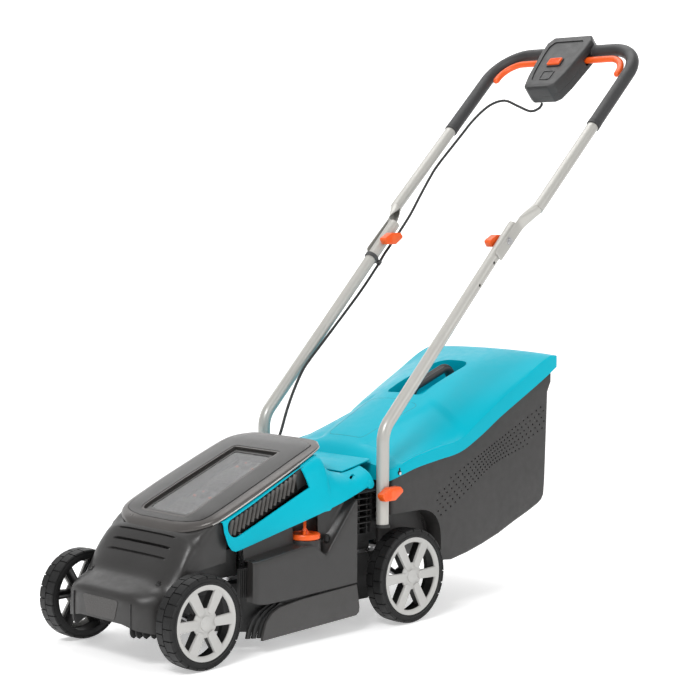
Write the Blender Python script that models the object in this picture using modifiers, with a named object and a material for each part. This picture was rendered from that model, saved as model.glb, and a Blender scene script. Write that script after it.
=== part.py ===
"""A cordless rotary lawn mower with a grass box and a folding handle.

Metres, +Z up, front towards -Y, the mower's left side towards +X. The ground is z = 0 and the middle of the overall
length is y = 0. A place along the mower is u, its distance behind the front axle, and at() gives its world position.
"""

import math

import bmesh
import bpy
from mathutils import Matrix, Vector

# Wheels and axles
WHEELBASE = 0.5354
FRONT_RADIUS = 0.0849
REAR_RADIUS = 0.0934
FRONT_RIM = 0.0689
REAR_RIM = 0.0772
TYRE_DEPTH = 0.0125
WHEEL_WIDTH = 0.041
WHEEL_OUTER_X = 0.190
AXLE_RADIUS = 0.006
CRANK_BACK = 0.030
CRANK_DOWN = 0.018
CRANK_GAP = 0.009
LEVER_REACH = 0.037
LINK_X = 0.1312
LINK_HALF = 0.0035
PIN_RADIUS = 0.0025

# Blade
CUT_RADIUS = 0.160
BLADE_Z = 0.045
BLADE_HALF = 0.0225
BLADE_THICK = 0.003
BLADE_BORE = 0.0034

# Deck
NOSE_REACH = 0.088
ROTOR_U = 0.255
DRUM_WALL = 0.003
DRUM_LOW = 0.035
DRUM_TOP = 0.125
DECK_HALF = 0.172
SIDE_FRONT = 0.130
SIDE_REAR = 0.396
SKIN = 0.003
INNER_HALF = 0.1255
CHUTE_HALF = 0.118
TOWER_REAR = 0.476
TOWER_TOP = 0.277

# Height knob, on the left deck side
KNOB_SIDE = "left"
KNOB_X = 0.1412
KNOB_U = 0.2857
KNOB_RADIUS = 0.029
KNOB_TOP = 0.2303
KNOB_STEM = 0.005
KNOB_BACK_TOP = 0.236
POST_TOP = 0.1935
WALL_X = 0.1375

# Battery bay and flap: a sloping plane behind the front of the hood
FLAP_U = 0.063
FLAP_Z = 0.2505
FLAP_LENGTH = 0.2463
FLAP_SLOPE = math.radians(22.25)
FLAP_FRONT_HALF = 0.0655
FLAP_REAR_HALF = 0.0600
FLAP_THICK = 0.003
BAY_DEPTH = 0.060

# Handle
POST_X = 0.1688
POST_AHEAD = 0.0667
POST_FOOT_Z = 0.197
BEND_Z = 0.3847
BEND_RADIUS = 0.055
LOWER_SLOPE = math.radians(45.5)
UPPER_SLOPE = math.radians(43.8)
BOLT_ALONG = 0.5096
LOWER_TOP = 0.045
TUBE_RADIUS = 0.0125
TUBE_WALL = 0.0012
GRIP_X = 0.2015
GRIP_START = 0.350
GRIP_RADIUS = 0.0148
BAR_ALONG = 0.607
CORNER_RADIUS = 0.085
STRAP = 0.0035
STRAP_LOW = 0.0465
STRAP_HIGH = 0.062
LOWER_BOLT_Z = 0.264
BOLT_RADIUS = 0.003
KNOB_LENGTH = 0.056
KNOB_HEIGHT = 0.025
KNOB_THICK = 0.016
BOX_HALF = 0.064
BOX_LOW = 0.150
BOX_HIGH = 0.030
BOX_TOP_N = 0.028
BOX_BOTTOM_N = 0.020
BAIL_RADIUS = 0.008
BAIL_GAP = 0.030
BAIL_TRAVEL = 0.006
BUTTON_HALF = 0.017
BUTTON_LENGTH = 0.021
BUTTON_ALONG = 0.546

# Grass box
TUB_HALF = 0.165
TUB_FRONT = 0.4975
TUB_REAR = 1.000
TUB_FLOOR = 0.1024
TUB_WALL = 0.0025
LID_HALF = 0.176
LID_FRONT = 0.4855
LID_WALL = 0.003
MOUTH_LOW = 0.155
MOUTH_HIGH = 0.268
ARCH_X = 0.1275
ARCH_REAR = 0.645
ARCH_TOP = 0.217
POCKET_HALF = 0.050
POCKET_DEPTH = 0.045

GAP = 0.0003
CLEARANCE = 0.0004
CABLE_RADIUS = 0.003

POST_U = WHEELBASE - POST_AHEAD
REAR_AXLE_U = WHEELBASE
BOLT_U = POST_U + BOLT_ALONG * math.cos(LOWER_SLOPE)
BOLT_Z = BEND_Z + BOLT_ALONG * math.sin(LOWER_SLOPE)
HANDLE_REACH = BOLT_U + (BAR_ALONG + BOX_HIGH) * math.cos(UPPER_SLOPE) + BOX_BOTTOM_N * math.sin(UPPER_SLOPE)
FRONT_AXLE_Y = NOSE_REACH - (NOSE_REACH + HANDLE_REACH) / 2
WHEEL_MID_X = WHEEL_OUTER_X - WHEEL_WIDTH / 2
CRANK_X = WHEEL_OUTER_X - WHEEL_WIDTH - CRANK_GAP
DRUM_RADIUS = CUT_RADIUS + 0.0025
STRAP_X = POST_X + TUBE_RADIUS + GAP

SIDES = {"left": 1, "right": -1}
AXLES = {
    "front": (0.0, FRONT_RADIUS, FRONT_RIM),
    "rear": (REAR_AXLE_U, REAR_RADIUS, REAR_RIM),
}


def at(x, u, z):
    return Vector((x, FRONT_AXLE_Y + u, z))


def slope_frame(u, z, angle):
    """A matrix from (x, along the slope, out of it) to world, starting at (0, u, z)."""
    c, s = math.cos(angle), math.sin(angle)
    turn = Matrix(((1, 0, 0), (0, c, -s), (0, s, c)))
    return Matrix.Translation(at(0, u, z)) @ turn.to_4x4()


LOWER_FRAME = slope_frame(BOLT_U, BOLT_Z, LOWER_SLOPE)
UPPER_FRAME = slope_frame(BOLT_U, BOLT_Z, UPPER_SLOPE)
FLAP_FRAME = slope_frame(FLAP_U, FLAP_Z, FLAP_SLOPE)
# From (along Y, along Z, along X) to world, for outlines drawn as (u, z) and extruded along x.
SIDE_FRAME = Matrix.Translation((0, FRONT_AXLE_Y, 0)) @ Matrix(((0, 0, 1), (1, 0, 0), (0, 1, 0))).to_4x4()


# ---------------------------------------------------------------- scene and materials


def clear_scene():
    for obj in list(bpy.data.objects):
        bpy.data.objects.remove(obj, do_unlink=True)


def new_collection(name):
    collection = bpy.data.collections.new(name)
    bpy.context.scene.collection.children.link(collection)
    return collection


def material(name, color, roughness=0.5, metallic=0.0, alpha=1.0):
    made = bpy.data.materials.new(name)
    made.use_nodes = True
    shader = made.node_tree.nodes["Principled BSDF"]
    shader.inputs["Base Color"].default_value = (*color, 1)
    shader.inputs["Roughness"].default_value = roughness
    shader.inputs["Metallic"].default_value = metallic
    shader.inputs["Alpha"].default_value = alpha
    made.diffuse_color = (*color, alpha)
    return made


clear_scene()
PARTS = new_collection("rotary_mower")
CUTTERS = new_collection("cutters")

DARK = material("dark_plastic", (0.075, 0.072, 0.070), 0.5)
HOOD = material("hood_plastic", (0.130, 0.122, 0.115), 0.35)
BLACK = material("black_plastic", (0.012, 0.012, 0.012), 0.55)
CYAN = material("cyan_plastic", (0.0, 0.42, 0.52), 0.4)
ORANGE = material("orange_plastic", (0.85, 0.12, 0.01), 0.4)
PAINT = material("grey_paint", (0.52, 0.51, 0.47), 0.35, 0.3)
RIM = material("rim_plastic", (0.50, 0.50, 0.48), 0.5)
ALLOY = material("cast_alloy", (0.5, 0.5, 0.52), 0.4, metallic=1)
TYRE = material("tyre_rubber", (0.015, 0.015, 0.015), 0.7)
GRIP = material("grip_plastic", (0.045, 0.045, 0.047), 0.45)
CLEAR = material("smoked_window", (0.10, 0.10, 0.10), 0.08, 0.0, 0.35)
STEEL = material("bright_steel", (0.62, 0.62, 0.64), 0.3, 1.0)
BOARD = material("circuit_board", (0.02, 0.16, 0.06), 0.5)


# ---------------------------------------------------------------- shapes


def add(name, mesh, mat, collection=None):
    obj = bpy.data.objects.new(name, mesh)
    (collection or PARTS).objects.link(obj)
    if mat:
        obj.data.materials.append(mat)
    return obj


def from_bmesh(name, bm, mat):
    mesh = bpy.data.meshes.new(name)
    bm.to_mesh(mesh)
    bm.free()
    return add(name, mesh, mat)


def box(name, low, high, mat=None):
    """A box between two corners given as (x, u, z)."""
    a, b = at(*low), at(*high)
    bm = bmesh.new()
    bmesh.ops.create_cube(bm, size=1)
    bmesh.ops.scale(bm, vec=b - a, verts=bm.verts)
    bmesh.ops.translate(bm, vec=(a + b) / 2, verts=bm.verts)
    return from_bmesh(name, bm, mat)


def drum(name, axis, centre, radius, length, mat=None, segments=24, frame=None):
    """A cylinder on a world axis through at(*centre), or on an axis of a slope frame."""
    turn = {
        "X": Matrix.Rotation(math.pi / 2, 4, "Y"),
        "Y": Matrix.Rotation(-math.pi / 2, 4, "X"),
        "Z": Matrix.Identity(4),
    }[axis]
    bm = bmesh.new()
    bmesh.ops.create_cone(
        bm, cap_ends=True, segments=segments, radius1=radius, radius2=radius, depth=length
    )
    place = frame @ Matrix.Translation(centre) if frame else Matrix.Translation(at(*centre))
    bm.transform(place @ turn @ Matrix.Rotation(math.pi / segments, 4, "Z"))
    return from_bmesh(name, bm, mat)


def mesh_from_curve(curve_obj):
    """The curve's surface as a mesh object in world coordinates; the curve is removed."""
    graph = bpy.context.evaluated_depsgraph_get()
    graph.update()
    mesh = bpy.data.meshes.new_from_object(curve_obj.evaluated_get(graph))
    name = curve_obj.name
    mats = [m for m in curve_obj.data.materials if m]
    bpy.data.objects.remove(curve_obj, do_unlink=True)
    bm = bmesh.new()
    bm.from_mesh(mesh)
    bmesh.ops.remove_doubles(bm, verts=bm.verts, dist=1e-5)
    bm.to_mesh(mesh)
    bm.free()
    mesh.materials.clear()
    return add(name, mesh, mats[0] if mats else None)


def plate(name, outline, low, high, mat=None, frame=SIDE_FRAME):
    """A flat outline extruded from low to high along the frame's third axis."""
    curve = bpy.data.curves.new(name, "CURVE")
    curve.dimensions = "2D"
    curve.fill_mode = "BOTH"
    curve.extrude = (high - low) / 2
    spline = curve.splines.new("POLY")
    spline.points.add(len(outline) - 1)
    for point, (a, b) in zip(spline.points, outline):
        point.co = (a, b, 0, 1)
    spline.use_cyclic_u = True
    obj = mesh_from_curve(add(name, curve, mat))
    obj.data.transform(frame @ Matrix.Translation((0, 0, (low + high) / 2)))
    if frame.determinant() < 0:
        obj.data.flip_normals()
    return obj


def arcs(corners, radii, turn=0.27):
    """The corner points with each inner corner rounded to its radius, in steps of about the turn in radians."""
    points = [Vector(corners[0])]
    for before, corner, after, radius in zip(corners, corners[1:], corners[2:], radii):
        corner = Vector(corner)
        to_before = (Vector(before) - corner).normalized()
        to_after = (Vector(after) - corner).normalized()
        half = to_before.angle(to_after) / 2
        reach = radius / math.tan(half)
        centre = corner + (to_before + to_after).normalized() * radius / math.sin(half)
        first = corner + to_before * reach - centre
        last = corner + to_after * reach - centre
        sweep = first.angle(last)
        steps = max(2, round(sweep / turn))
        for i in range(steps + 1):
            t = i / steps
            arm = (first * math.sin((1 - t) * sweep) + last * math.sin(t * sweep)) / math.sin(sweep)
            points.append(centre + arm)
    points.append(Vector(corners[-1]))
    return points


def pipe(name, points, radius, mat, resolution=4, caps=True):
    """A round bar along the points, as a curve with a bevel."""
    curve = bpy.data.curves.new(name, "CURVE")
    curve.dimensions = "3D"
    curve.bevel_depth = radius
    curve.bevel_resolution = resolution
    curve.use_fill_caps = caps
    spline = curve.splines.new("POLY")
    spline.points.add(len(points) - 1)
    for place, point in zip(spline.points, points):
        place.co = (*point, 1)
    return add(name, curve, mat)


def hollow_pipe(name, points, radius, wall, mat, resolution=4):
    tube = mesh_from_curve(pipe(name, points, radius, mat, resolution, caps=False))
    bm = bmesh.new()
    bm.from_mesh(tube.data)
    bmesh.ops.recalc_face_normals(bm, faces=bm.faces)
    first = min(bm.faces, key=lambda f: (f.calc_center_median() - points[0]).length)
    if (first.calc_center_median() - points[0]).dot(first.normal) < 0:
        bmesh.ops.reverse_faces(bm, faces=bm.faces)
    bm.to_mesh(tube.data)
    bm.free()
    return thicken(tube, wall)


def thicken(obj, wall):
    solidify = obj.modifiers.new("wall", "SOLIDIFY")
    solidify.thickness = wall
    solidify.offset = -1
    solidify.use_even_offset = True
    return obj


def turned(name, profile, mat, steps=32):
    """A ring turned about local Z; the profile is a closed loop of (radius, z), down the outer side and up the bore."""
    bm = bmesh.new()
    verts = [bm.verts.new((r, 0, z)) for r, z in profile]
    for a, b in zip(verts, verts[1:] + verts[:1]):
        bm.edges.new((a, b))
    obj = from_bmesh(name, bm, mat)
    screw = obj.modifiers.new("turn", "SCREW")
    screw.steps = screw.render_steps = steps
    screw.use_merge_vertices = True
    screw.merge_threshold = 0.0001
    screw.use_smooth_shade = False
    return obj


def arch(u, half, low, top, power, count=8, last=None):
    """Points of a rounded arch across the mower at u, from its side to the middle."""
    points = []
    for i in range(count + 1):
        angle = math.pi / 2 * i / count
        x = half * max(math.cos(angle), 0) ** (2 / power)
        z = low + (top - low) * math.sin(angle) ** (2 / power)
        points.append((0.0 if i == count else x, u, z))
    return points[:last]


def sheet(name, rows, wall, mat):
    """A thin shell through rows of points on the left half, mirrored to the right."""
    bm = bmesh.new()
    made = [[bm.verts.new(at(*p)) for p in row] for row in rows]
    for row, after in zip(made, made[1:]):
        for i in range(min(len(row), len(after)) - 1):
            bm.faces.new((row[i], after[i], after[i + 1], row[i + 1]))
    bm.normal_update()
    middle = at(0, (rows[0][0][1] + rows[-1][0][1]) / 2, min(p[2] for row in rows for p in row))
    if sum(f.normal.dot(f.calc_center_median() - middle) * f.calc_area() for f in bm.faces) < 0:
        bmesh.ops.reverse_faces(bm, faces=bm.faces)
    obj = from_bmesh(name, bm, mat)
    mirror = obj.modifiers.new("other half", "MIRROR")
    mirror.merge_threshold = 0.0001
    return thicken(obj, wall)


def loft(name, rings, mat=None):
    """A closed solid through rings of world points, with flat ends."""
    bm = bmesh.new()
    made = [[bm.verts.new(at(*p)) for p in ring] for ring in rings]
    count = len(made[0])
    for ring, after in zip(made, made[1:]):
        for i in range(count):
            j = (i + 1) % count
            bm.faces.new((ring[i], ring[j], after[j], after[i]))
    bm.faces.new(made[0])
    bm.faces.new(made[-1])
    bmesh.ops.recalc_face_normals(bm, faces=bm.faces)
    return from_bmesh(name, bm, mat)


def hide(tool):
    tool.hide_render = True
    tool.display_type = "WIRE"
    for collection in list(tool.users_collection):
        collection.objects.unlink(tool)
    CUTTERS.objects.link(tool)


def combine(target, tools, operation):
    for tool in tools:
        hide(tool)
        modifier = target.modifiers.new(operation.lower(), "BOOLEAN")
        modifier.operation = operation
        modifier.object = tool
    return target


def cut(target, *tools):
    return combine(target, tools, "DIFFERENCE")


def unite(target, *tools):
    return combine(target, tools, "UNION")


def smooth(*objects):
    for obj in objects:
        obj.data.shade_smooth()
        obj.data.set_sharp_from_angle(angle=math.radians(35))


# ---------------------------------------------------------------- joints


def pivot(name, where):
    empty = bpy.data.objects.new(name, None)
    empty.empty_display_size = 0.02
    empty.location = where
    PARTS.objects.link(empty)
    return empty


def carry(empty, world, *pieces):
    """Parents the pieces to an empty that stands at the world point, without moving them."""
    for piece in pieces:
        piece.parent = empty
        piece.matrix_parent_inverse = Matrix.Translation(-Vector(world))


# ---------------------------------------------------------------- deck


def make_chassis():
    """The black lower moulding: blade drum, front plate, chute tower and tail plate, open below and behind."""
    mid = (DRUM_LOW + DRUM_TOP) / 2
    body = drum(
        "chassis", "Z", (0, ROTOR_U, mid), DRUM_RADIUS + DRUM_WALL, DRUM_TOP - DRUM_LOW, BLACK, 48
    )
    unite(
        body,
        box("front_plate", (-0.110, -0.050, DRUM_TOP - 0.011), (0.110, 0.125, DRUM_TOP - 0.0005)),
        box("chute_tower", (-INNER_HALF, 0.360, 0.050), (INNER_HALF, TOWER_REAR, TOWER_TOP)),
        box("tail_plate", (-INNER_HALF, TOWER_REAR - 0.010, 0.122), (INNER_HALF, 0.530, 0.133)),
    )
    duct = [
        (0.300, 0.060),
        (0.372, 0.060),
        (TOWER_REAR + 0.02, 0.150),
        (TOWER_REAR + 0.02, TOWER_TOP - 0.005),
        (0.372, TOWER_TOP - 0.005),
        (0.372, DRUM_TOP - 0.006),
        (0.300, DRUM_TOP - 0.006),
    ]
    chamber_top = DRUM_TOP - 0.005
    cut(
        body,
        drum("blade_space", "Z", (0, ROTOR_U, (0.02 + chamber_top) / 2), DRUM_RADIUS, chamber_top - 0.02, None, 48),
        plate("duct_space", duct, -CHUTE_HALF, CHUTE_HALF),
        drum("shaft_hole", "Z", (0, ROTOR_U, DRUM_TOP), 0.009, 0.03),
    )


def make_cowl():
    rows = [
        arch(-NOSE_REACH, 0.020, 0.088, 0.096, 4),
        arch(-0.0872, 0.080, 0.068, 0.116, 6),
        arch(-0.079, 0.100, 0.064, 0.130, 6),
        arch(-0.055, 0.121, 0.062, 0.141, 6),
        arch(-0.031, 0.1285, 0.062, 0.152, 6),
        arch(-0.015, 0.1285, 0.100, 0.174, 5),
        arch(0.000, 0.1285, 0.145, 0.194, 5),
        arch(0.0213, 0.1290, 0.160, 0.224, 4.5),
        arch(0.0330, 0.1300, 0.165, 0.2310, 4.5),
        arch(0.0670, 0.1300, 0.168, 0.2450, 4.5, last=5),
        arch(0.0980, 0.1300, 0.172, 0.2550, 4.5, last=5),
    ]
    cowl = sheet("front_cowl", rows, SKIN, DARK)
    pivot_z = FRONT_RADIUS + CRANK_DOWN
    for side, sign in SIDES.items():
        low, high = sorted((sign * 0.115, sign * 0.135))
        slot = AXLE_RADIUS + 0.0015
        cut(cowl, box(f"axle_slot_{side}", (low, -CRANK_BACK - slot, 0.050), (high, slot - CRANK_BACK, pivot_z + slot)))


def make_hood():
    stations = [
        (0.0300, 0.070, 0.2360, 0.2380),
        (0.0400, 0.096, 0.2365, 0.2430),
        (0.0550, 0.118, 0.2395, 0.2500),
        (0.0750, 0.1305, 0.2460, 0.2600),
        (0.1100, 0.1340, 0.2607, 0.2750),
        (0.1620, 0.1350, 0.2827, 0.2970),
        (0.2170, 0.1340, 0.3061, 0.3190),
        (0.2700, 0.1320, 0.3286, 0.3405),
        (0.3200, 0.1280, 0.3498, 0.3590),
        (0.3450, 0.1180, 0.3580, 0.3660),
        (0.3620, 0.0950, 0.3640, 0.3695),
    ]
    rows = [arch(u, half, low, top, 4) for u, half, low, top in stations]
    hood = sheet("hood", rows, 0.0022, HOOD)
    edge = 0.0015
    outline = [
        (-FLAP_FRONT_HALF - edge, -edge),
        (FLAP_FRONT_HALF + edge, -edge),
        (FLAP_REAR_HALF + edge, FLAP_LENGTH + edge),
        (-FLAP_REAR_HALF - edge, FLAP_LENGTH + edge),
    ]
    cut(hood, plate("flap_space", outline, -0.03, 0.03, None, FLAP_FRAME))


def cover_low(u):
    """Height of the cover's lower side edge."""
    return 0.194 + 0.2454 * (u - 0.1215) if u < 0.30 else 0.2378 + 0.33 * (u - 0.30)


def hood_rim(u):
    """Height of the hood's side rim, which the cover's loops follow."""
    return 0.2424 + 0.4243 * (u - 0.067)


def make_cover():
    """The cyan cover: a loop down each side round the vents, joined behind the hood."""
    rows = [
        [(0.1420, 0.084, 0.228), (0.1405, 0.084, 0.236), (0.1390, 0.084, 0.242)],
        [(0.1435, 0.092, 0.208), (0.1415, 0.092, 0.230), (0.1385, 0.092, hood_rim(0.092) - 0.004)],
    ]
    for u, half in ((0.105, 0.1445), (0.125, 0.146), (0.162, 0.149), (0.217, 0.153), (0.270, 0.158), (0.318, 0.164)):
        low, rim = cover_low(u), hood_rim(u) - 0.004
        rows.append([(half, u, low), ((half + 0.1385) / 2 + 0.001, u, (low + rim) / 2), (0.1385, u, rim)])
    for u, half, shoulder, middle in ((0.334, 0.1660, 0.334, 0.334), (0.352, 0.1690, 0.320, 0.321), (0.375, 0.1705, 0.309, 0.310), (0.396, 0.1705, 0.306, 0.3075)):
        low = cover_low(u)
        rows.append([(half, u, low), (0.158, u, low + 0.018), (0.126, u, shoulder), (0, u, middle)])
    for u, half, shoulder in ((0.420, 0.1700, 0.309), (0.447, 0.1660, 0.315)):
        low = cover_low(u)
        rows.append([(half, u, low), (0.157, u, low + 0.014), (0.126, u, shoulder)])
    cover = sheet("top_cover", rows, SKIN, CYAN)
    for sign in SIDES.values():
        cut(cover, plate("vent_space", vent_outline(0), sign * 0.148 - 0.02, sign * 0.148 + 0.02))


def vent_outline(inset):
    """The vent's outline in (u, z): round at the front, square at the rear."""
    front = Vector((0.107, 0.2395))
    radius = 0.0125 - inset
    slope = math.radians(23.2)
    points = []
    for i in range(9):
        angle = slope + math.pi / 2 + math.pi * i / 8
        points.append((front.x + radius * math.cos(angle), front.y + radius * math.sin(angle)))
    along = Vector((math.cos(slope), math.sin(slope)))
    across = Vector((-along.y, along.x))
    for side in (-1, 1):
        corner = front + along * (0.188 - inset + 0.004 * side) + across * side * (0.0130 - inset)
        points.append((corner.x, corner.y))
    return points


def make_vent_grilles():
    for side, sign in SIDES.items():
        low, high = sorted((sign * 0.1345, sign * 0.1320))
        grille = plate(f"vent_grille_{side}", vent_outline(-0.002), low, high, BLACK)
        slots = []
        for i in range(7):
            u = 0.116 + 0.0195 * i
            z = 0.2425 + 0.0195 * i * math.tan(math.radians(23.2))
            slots.append(box(f"fin_space_{side}_{i}", (sign * 0.133 - 0.004, u, z - 0.008), (sign * 0.133 + 0.004, u + 0.010, z + 0.008)))
        cut(grille, *slots)


def make_deck_sides():
    """Side mouldings between the wheels, open towards the middle and below, with a recess for the height knob."""
    wall_top = [(u, cover_low(u) - 0.005) for u in (0.340, SIDE_REAR)]
    outline = [
        (SIDE_FRONT, 0.0975),
        (SIDE_FRONT, 0.1715),
        (0.262, 0.1860),
        (0.316, 0.1935),
        *wall_top,
        (SIDE_REAR, 0.0985),
        (0.165, 0.0915),
    ]
    hollow = [
        (SIDE_FRONT + SKIN, 0.05),
        (SIDE_FRONT + SKIN, 0.1715 - SKIN),
        (0.262, 0.1860 - SKIN),
        (0.316, 0.1935 - SKIN),
        *[(min(u, SIDE_REAR - SKIN), z - SKIN * 1.4) for u, z in wall_top],
        (SIDE_REAR - SKIN, 0.05),
    ]
    for side, sign in SIDES.items():
        low, high = sorted((sign * 0.139, sign * DECK_HALF))
        panel = plate(f"deck_side_{side}", outline, low, high, DARK)
        low, high = sorted((sign * 0.100, sign * (DECK_HALF - SKIN)))
        cut(panel, plate(f"side_hollow_{side}", hollow, low, high))
        wall = [
            (SIDE_FRONT, 0.165),
            (SIDE_FRONT, cover_low(SIDE_FRONT) + 0.012),
            (0.300, cover_low(0.300) + 0.010),
            (SIDE_REAR, cover_low(SIDE_REAR) + 0.004),
            (SIDE_REAR, 0.165),
        ]
        low, high = sorted((sign * WALL_X, sign * (WALL_X + SKIN)))
        unite(panel, plate(f"upper_wall_{side}", wall, low, high))
        if side != KNOB_SIDE:
            continue
        space = KNOB_RADIUS + 0.002
        low = 0.167
        unite(panel, drum("knob_post", "Z", (KNOB_X, KNOB_U, (low + KNOB_BACK_TOP) / 2), space + 0.003, KNOB_BACK_TOP - low, None, 32))
        cut(
            panel,
            drum("knob_space", "Z", (KNOB_X, KNOB_U, POST_TOP + 0.05), space, 0.1, None, 32),
            box("knob_front", (WALL_X + 0.001, KNOB_U - 0.04, POST_TOP), (0.20, KNOB_U + 0.04, KNOB_BACK_TOP + 0.01)),
            drum("post_bore", "Z", (KNOB_X, KNOB_U, low), KNOB_STEM + CLEARANCE, 0.08, None, 16),
        )


def make_grass_combs():
    outline = [
        (0.151, 0.0245),
        (0.160, 0.055),
        (0.187, 0.0795),
        (0.250, 0.0885),
        (SIDE_REAR, 0.0955),
        (SIDE_REAR + 0.008, 0.0345),
    ]
    for side, sign in SIDES.items():
        low, high = sorted((sign * (DECK_HALF - SKIN), sign * DECK_HALF))
        plate(f"grass_comb_{side}", outline, low, high, DARK)


def make_brackets():
    for side, sign in SIDES.items():
        low, high = sorted((sign * (INNER_HALF + 0.002), sign * (POST_X - TUBE_RADIUS - 0.001)))
        bracket = box(f"handle_bracket_{side}", (low, SIDE_REAR + 0.0035, 0.165), (high, 0.4915, 0.270), BLACK)
        low, high = sorted((sign * (WHEEL_OUTER_X - WHEEL_WIDTH - 0.003), sign * 0.17))
        cut(
            bracket,
            drum(f"bracket_bore_{side}", "X", (sign * 0.14, POST_U, LOWER_BOLT_Z), BOLT_RADIUS + CLEARANCE, 0.06),
            box(f"bracket_relief_{side}", (low, 0.39, 0.10), (high, 0.50, 0.200)),
        )
        stud_low, stud_high = INNER_HALF + 0.004, POST_X + TUBE_RADIUS + 0.011
        drum(
            f"lower_bolt_{side}",
            "X",
            (sign * (stud_low + stud_high) / 2, POST_U, LOWER_BOLT_Z),
            BOLT_RADIUS,
            stud_high - stud_low,
            STEEL,
            16,
        )


# ---------------------------------------------------------------- power unit


def make_power_unit():
    drum("motor", "Z", (0, ROTOR_U, DRUM_TOP + GAP + 0.036), 0.044, 0.072, ALLOY, 32)
    box("control_board", (-0.050, 0.118, DRUM_TOP + GAP), (0.050, 0.198, DRUM_TOP + GAP + 0.002), BOARD)
    half = FLAP_REAR_HALF - 0.002
    top = -FLAP_THICK - 0.002
    outer = [(-half, 0.001), (half, 0.001), (half, FLAP_LENGTH - 0.002), (-half, FLAP_LENGTH - 0.002)]
    wall = 0.002
    inner = [(x - math.copysign(wall, x), t + (wall if t < 0.1 else -wall)) for x, t in outer]
    bay = plate("battery_bay", outer, -BAY_DEPTH, top, BLACK, FLAP_FRAME)
    cut(bay, plate("bay_hollow", inner, -BAY_DEPTH + wall, top + 0.02, None, FLAP_FRAME))
    pack = (FLAP_LENGTH - 0.03) / 2
    for name, start in (("battery_front", 0.010), ("battery_rear", 0.018 + pack)):
        outline = [(-0.044, start), (0.044, start), (0.044, start + pack), (-0.044, start + pack)]
        plate(name, outline, -BAY_DEPTH + wall + GAP, top - 0.004, DARK, FLAP_FRAME)


def make_flap():
    outline = [
        (-FLAP_FRONT_HALF, 0),
        (FLAP_FRONT_HALF, 0),
        (FLAP_REAR_HALF, FLAP_LENGTH),
        (-FLAP_REAR_HALF, FLAP_LENGTH),
    ]
    flap = plate("battery_flap", outline, -FLAP_THICK, 0, CLEAR, FLAP_FRAME)
    hinge = FLAP_FRAME @ Vector((0, FLAP_LENGTH - FLAP_THICK / 2, -FLAP_THICK / 2))
    carry(pivot("battery_flap_axis", hinge), hinge, flap)


def make_rotor():
    """Shaft and blade holder, blade and bolt, turning together under the motor."""
    shaft = turned(
        "rotor_shaft",
        [
            (0.006, DRUM_TOP),
            (0.006, BLADE_Z + 0.014),
            (0.022, BLADE_Z + 0.014),
            (0.022, BLADE_Z + BLADE_THICK + GAP),
            (BLADE_BORE, BLADE_Z + BLADE_THICK + GAP),
            (BLADE_BORE, DRUM_TOP),
        ],
        STEEL,
        24,
    )
    shaft.location = at(0, ROTOR_U, 0)
    blade = box("blade", (-CUT_RADIUS, ROTOR_U - BLADE_HALF, BLADE_Z), (CUT_RADIUS, ROTOR_U + BLADE_HALF, BLADE_Z + BLADE_THICK), STEEL)
    cut(blade, drum("blade_bore", "Z", (0, ROTOR_U, BLADE_Z), BLADE_BORE, 0.03, None, 16))
    for sign in SIDES.values():
        tip = sign * (CUT_RADIUS - 0.026)
        corner = sorted((tip - 0.035 * sign, tip + 0.035 * sign))
        first, last = sorted((ROTOR_U - BLADE_HALF * sign, ROTOR_U - (BLADE_HALF - 0.012) * sign))
        cut(blade, box("blade_relief", (corner[0], first, BLADE_Z - 0.01), (corner[1], last, BLADE_Z + 0.01)))
    head = 0.0064
    bolt = drum("blade_bolt", "Z", (0, ROTOR_U, BLADE_Z - GAP - head / 2), 0.010, head, STEEL, 6)
    stem_top = DRUM_TOP - 0.03
    unite(bolt, drum("blade_bolt_stem", "Z", (0, ROTOR_U, (BLADE_Z - head / 2 + stem_top) / 2), BLADE_BORE - CLEARANCE, stem_top - BLADE_Z + head / 2, None, 16))
    axis = at(0, ROTOR_U, BLADE_Z)
    carry(pivot("blade_axis", axis), axis, shaft, blade, bolt)


# ---------------------------------------------------------------- wheels


def make_wheels():
    """Each axle is a crank that swings in a clamp under the chassis and carries its two wheels."""
    for end, (u, radius, rim_radius) in AXLES.items():
        pivot_u, pivot_z = u - CRANK_BACK, radius + CRANK_DOWN
        end_x = WHEEL_OUTER_X - 0.010
        corners = [
            at(-end_x, u, radius),
            at(-CRANK_X, u, radius),
            at(-CRANK_X, pivot_u, pivot_z),
            at(CRANK_X, pivot_u, pivot_z),
            at(CRANK_X, u, radius),
            at(end_x, u, radius),
        ]
        route = arcs(corners, [0.0082] * 4, 0.6)
        bar = mesh_from_curve(pipe(f"{end}_axle", route, AXLE_RADIUS, STEEL, 2))
        pin = (LINK_X, pivot_u, pivot_z + LEVER_REACH)
        lever = [(-0.0085, -0.004), (0.0085, -0.004), (0.0085, 0.004), (0.0045, LEVER_REACH + 0.003), (-0.0045, LEVER_REACH + 0.003), (-0.0085, 0.004)]
        unite(
            bar,
            plate(f"{end}_lever", [(pivot_u + a, pivot_z + b) for a, b in lever], LINK_X - 0.0024, LINK_X - GAP),
            drum(f"{end}_lever_pin", "X", pin, PIN_RADIUS, 0.0042, None, 12),
        )
        swing_at = at(0, pivot_u, pivot_z)
        swing = pivot(f"{end}_axle_axis", swing_at)
        carry(swing, swing_at, bar)
        clamp_top = (DRUM_TOP - 0.0115 if end == "front" else 0.1215)
        clamp = box(
            f"{end}_axle_clamp",
            (-0.100, pivot_u - 0.014, pivot_z - 0.011),
            (0.100, pivot_u + 0.014, clamp_top),
            BLACK,
        )
        cut(clamp, drum(f"{end}_clamp_bore", "X", (0, pivot_u, pivot_z), AXLE_RADIUS + CLEARANCE, 0.25, None, 16))
        for side, sign in SIDES.items():
            make_wheel(f"{end}_{side}", sign, u, radius, rim_radius, swing, swing_at)


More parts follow.
